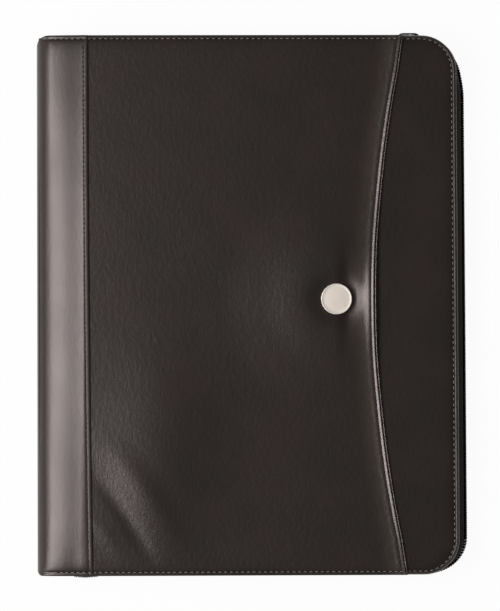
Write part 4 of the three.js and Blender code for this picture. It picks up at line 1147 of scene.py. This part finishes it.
# The leather's rubbed colour, about five times lighter than the leather, serves as rub wear and as a painted
# highlight.
LEATHER = leather("dark_brown_leather", (0.0152, 0.0117, 0.0088), (0.078, 0.062, 0.053), 0.31, 950.0, 0.014)
SOFT_LEATHER = leather("inside_leather", (0.026, 0.022, 0.02), (0.06, 0.045, 0.038), 0.5, 1200.0, 0.02)
LINING = cloth("black_twill_lining", (0.02, 0.019, 0.02), 1500.0, 1500.0, depth=0.06)
TAPE = cloth("zip_tape_weave", (0.016, 0.0125, 0.0105), 24.0, 900.0, from_uv=True, depth=0.06, sheen=0.03)
ELASTIC = cloth("ribbed_elastic", (0.016, 0.015, 0.015), 60.0, 22.0, from_uv=True, depth=0.12)
BINDING = cloth("binding_cloth", (0.03, 0.03, 0.035), 2200.0, 2200.0, depth=0.03)
FELT = board("padding_felt", (0.1, 0.09, 0.08), 700.0)
GREY_BOARD = board("grey_board", (0.26, 0.23, 0.18), 500.0)
BLACK_BOARD = board("black_fibre_board", (0.022, 0.02, 0.019), 500.0)
CARD = board("pad_card", (0.42, 0.34, 0.24), 800.0)
PAPER = paper()
THREAD = thread_finish("brown_thread", (0.09, 0.078, 0.071), (0.29, 0.26, 0.24), 0.33)
# Painted shade: the strip's and mouth's stitches are near-black for the shadow of their sunken line, on the
# thread's own dark colour.
SUNK_THREAD_SHADED = thread_finish("sunk_thread", (0.002, 0.0015, 0.0015), (0.009, 0.006, 0.005), 0.7)
TACK_THREAD = thread_finish("dark_thread", (0.008, 0.006, 0.005), (0.04, 0.033, 0.03), 0.45)
NEEDLE_HOLE_SHADE = needle_hole_finish()
CAP_CENTRE = tuple(to_metres(SNAP_X, SNAP_Y, 0.0))
NICKEL = metal("satin_nickel", (0.84, 0.765, 0.7), 0.54, ring_centre=CAP_CENTRE, scratch=0.006)
STEEL = metal("pressed_steel", (0.42, 0.41, 0.4), 0.36)
BLACK_METAL = metal("black_lacquered_metal", (0.012, 0.0105, 0.01), 0.56, metallic=0.0)
COIL = leather("nylon_coil", (0.015, 0.012, 0.01), (0.03, 0.02, 0.02), 0.62, 3000.0, 0.004, gloss=0.1)

CAD_FINISHES = {
    "front_board": GREY_BOARD, "back_board": GREY_BOARD, "spine_board": BLACK_BOARD, "pad_backing_card": CARD,
    "pad_paper_block": PAPER, "snap_male": STEEL, "snap_female": STEEL, "snap_washer": STEEL,
    "front_zip_stop": STEEL, "back_zip_stop": STEEL, "foot_zip_stop": STEEL, "zip_slider": BLACK_METAL,
    "pull_tab": BLACK_METAL,
}


def finish_cad_nodes():
    """The solids that stay as they are get their materials."""
    for name, material in CAD_FINISHES.items():
        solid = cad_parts[name]
        solid.data.materials.clear()
        solid.data.materials.append(material)


# Studio
def floor():
    """A white floor. The camera sees most of it as even light, so that its shadows stay faint."""
    deselect()
    bpy.ops.mesh.primitive_plane_add(size=60, location=(0, 0, -0.0002))
    ground = bpy.context.object
    ground.name = "studio_floor"
    look = {"Base_Color": (0.88, 0.88, 0.88, 1), "Specular_IOR_Level": 0.0}
    material, tree, shader = new_finish("white_floor", 0.9, **look)
    glow = node(tree, "Emission", {"Color": (1, 1, 1, 1), "Strength": 1.0})
    rays = node(tree, "LightPath")
    seen = math_node(tree, "MAXIMUM", rays.outputs["Is Camera Ray"], rays.outputs["Is Glossy Ray"])
    seen = math_node(tree, "MAXIMUM", seen, rays.outputs["Is Transmission Ray"])
    share = times(tree, seen, 0.95)
    both = node(tree, "MixShader", {0: share, 1: shader.outputs[0], 2: glow.outputs[0]})
    tree.links.new(both.outputs[0], tree.nodes["Material Output"].inputs["Surface"])
    ground.data.materials.append(material)


def room():
    """A white room low down, higher on the left, with a dark ceiling."""
    world = bpy.data.worlds.new("studio")
    bpy.context.scene.world = world
    world.use_nodes = True
    tree = world.node_tree
    way = node(tree, "SeparateXYZ", {0: node(tree, "TexCoord").outputs["Generated"]})
    height = math_node(tree, "ADD", way.outputs["Z"], times(tree, way.outputs["X"], 0.3))
    sockets = {0: height, 1: 0.12, 2: 0.36, 3: 0.0, 4: 1.0}
    share = node(tree, "MapRange", sockets, interpolation_type="SMOOTHSTEP").outputs[0]
    colour = shade_between(tree, share, (1, 1, 1, 1), (0.16, 0.16, 0.16, 1))
    tree.links.new(colour, tree.nodes["Background"].inputs["Color"])


def soft_light(name, place, size, strength, colour):
    """A soft box that faces the folder. Strength is its brightness, where 1 is white."""
    deselect()
    bpy.ops.object.light_add(type="AREA", location=place)
    lamp = bpy.context.object
    lamp.name = name
    lamp.data.shape = "RECTANGLE"
    lamp.data.size, lamp.data.size_y = size
    lamp.data.energy = strength * math.pi * size[0] * size[1]
    lamp.data.color = colour
    lamp.rotation_euler = Vector(place).to_track_quat("Z", "Y").to_euler()
    lamp.visible_camera = False


def camera():
    """Nearly straight above the folder, turned by a hair as in the photo."""
    deselect()
    bpy.ops.object.camera_add()
    view = bpy.context.object
    view.data.sensor_width = 36
    view.data.lens = 199.4
    view.data.clip_end = 100
    back = Vector((-0.018, -0.014, 1)).normalized()
    right = (Vector((1, 0, 0)) - back * back.x).normalized()
    up = back.cross(right)
    roll = math.radians(-0.137)
    turned = right * math.cos(roll) + up * math.sin(roll)
    point = Vector((-0.00144, -0.00067, 0.021)) + back * 2.0
    view.matrix_world = place_at(point, turned, back.cross(turned), back)
    bpy.context.scene.camera = view


camera()
floor()
room()
soft_light("left_soft_box", (-0.90, -0.06, 1.44), (0.85, 0.68), 12.4, (1.0, 0.985, 0.97))
bpy.context.scene.view_settings.view_transform = "Standard"

STITCH = stitch_model(THREAD, 1.0, 0.3, 0.32)
SUNK_STITCH = stitch_model(SUNK_THREAD_SHADED, 0.95, 0.42, 0.16)
front_cover_leather()
back_cover_leather()
cover_fillings()
strip_half(True)
strip_half(False)
spine_inside()
spine_end_turns()
pocket_panel()
pocket_inner("pocket_facing_sheet", 1.25, lambda y: mouth_at(y) - 34, 23.05, 0.55, LEATHER, "leather", 24)
pocket_inner("pocket_lining_sheet", -36, lambda y: 24.0 + 0 * y, 22.9, 0.5, LINING, "lining", 20)
snap_cap()
zip_tape(True)
zip_tape(False)
zip_coils()
lock_spring()
outside_seams()
bar_tack()
pen_loop()
pad_slot()
document_pocket()
card_pockets()
pad_binding()
finish_cad_nodes()
bpy.data.objects.remove(STITCH)
bpy.data.objects.remove(SUNK_STITCH)
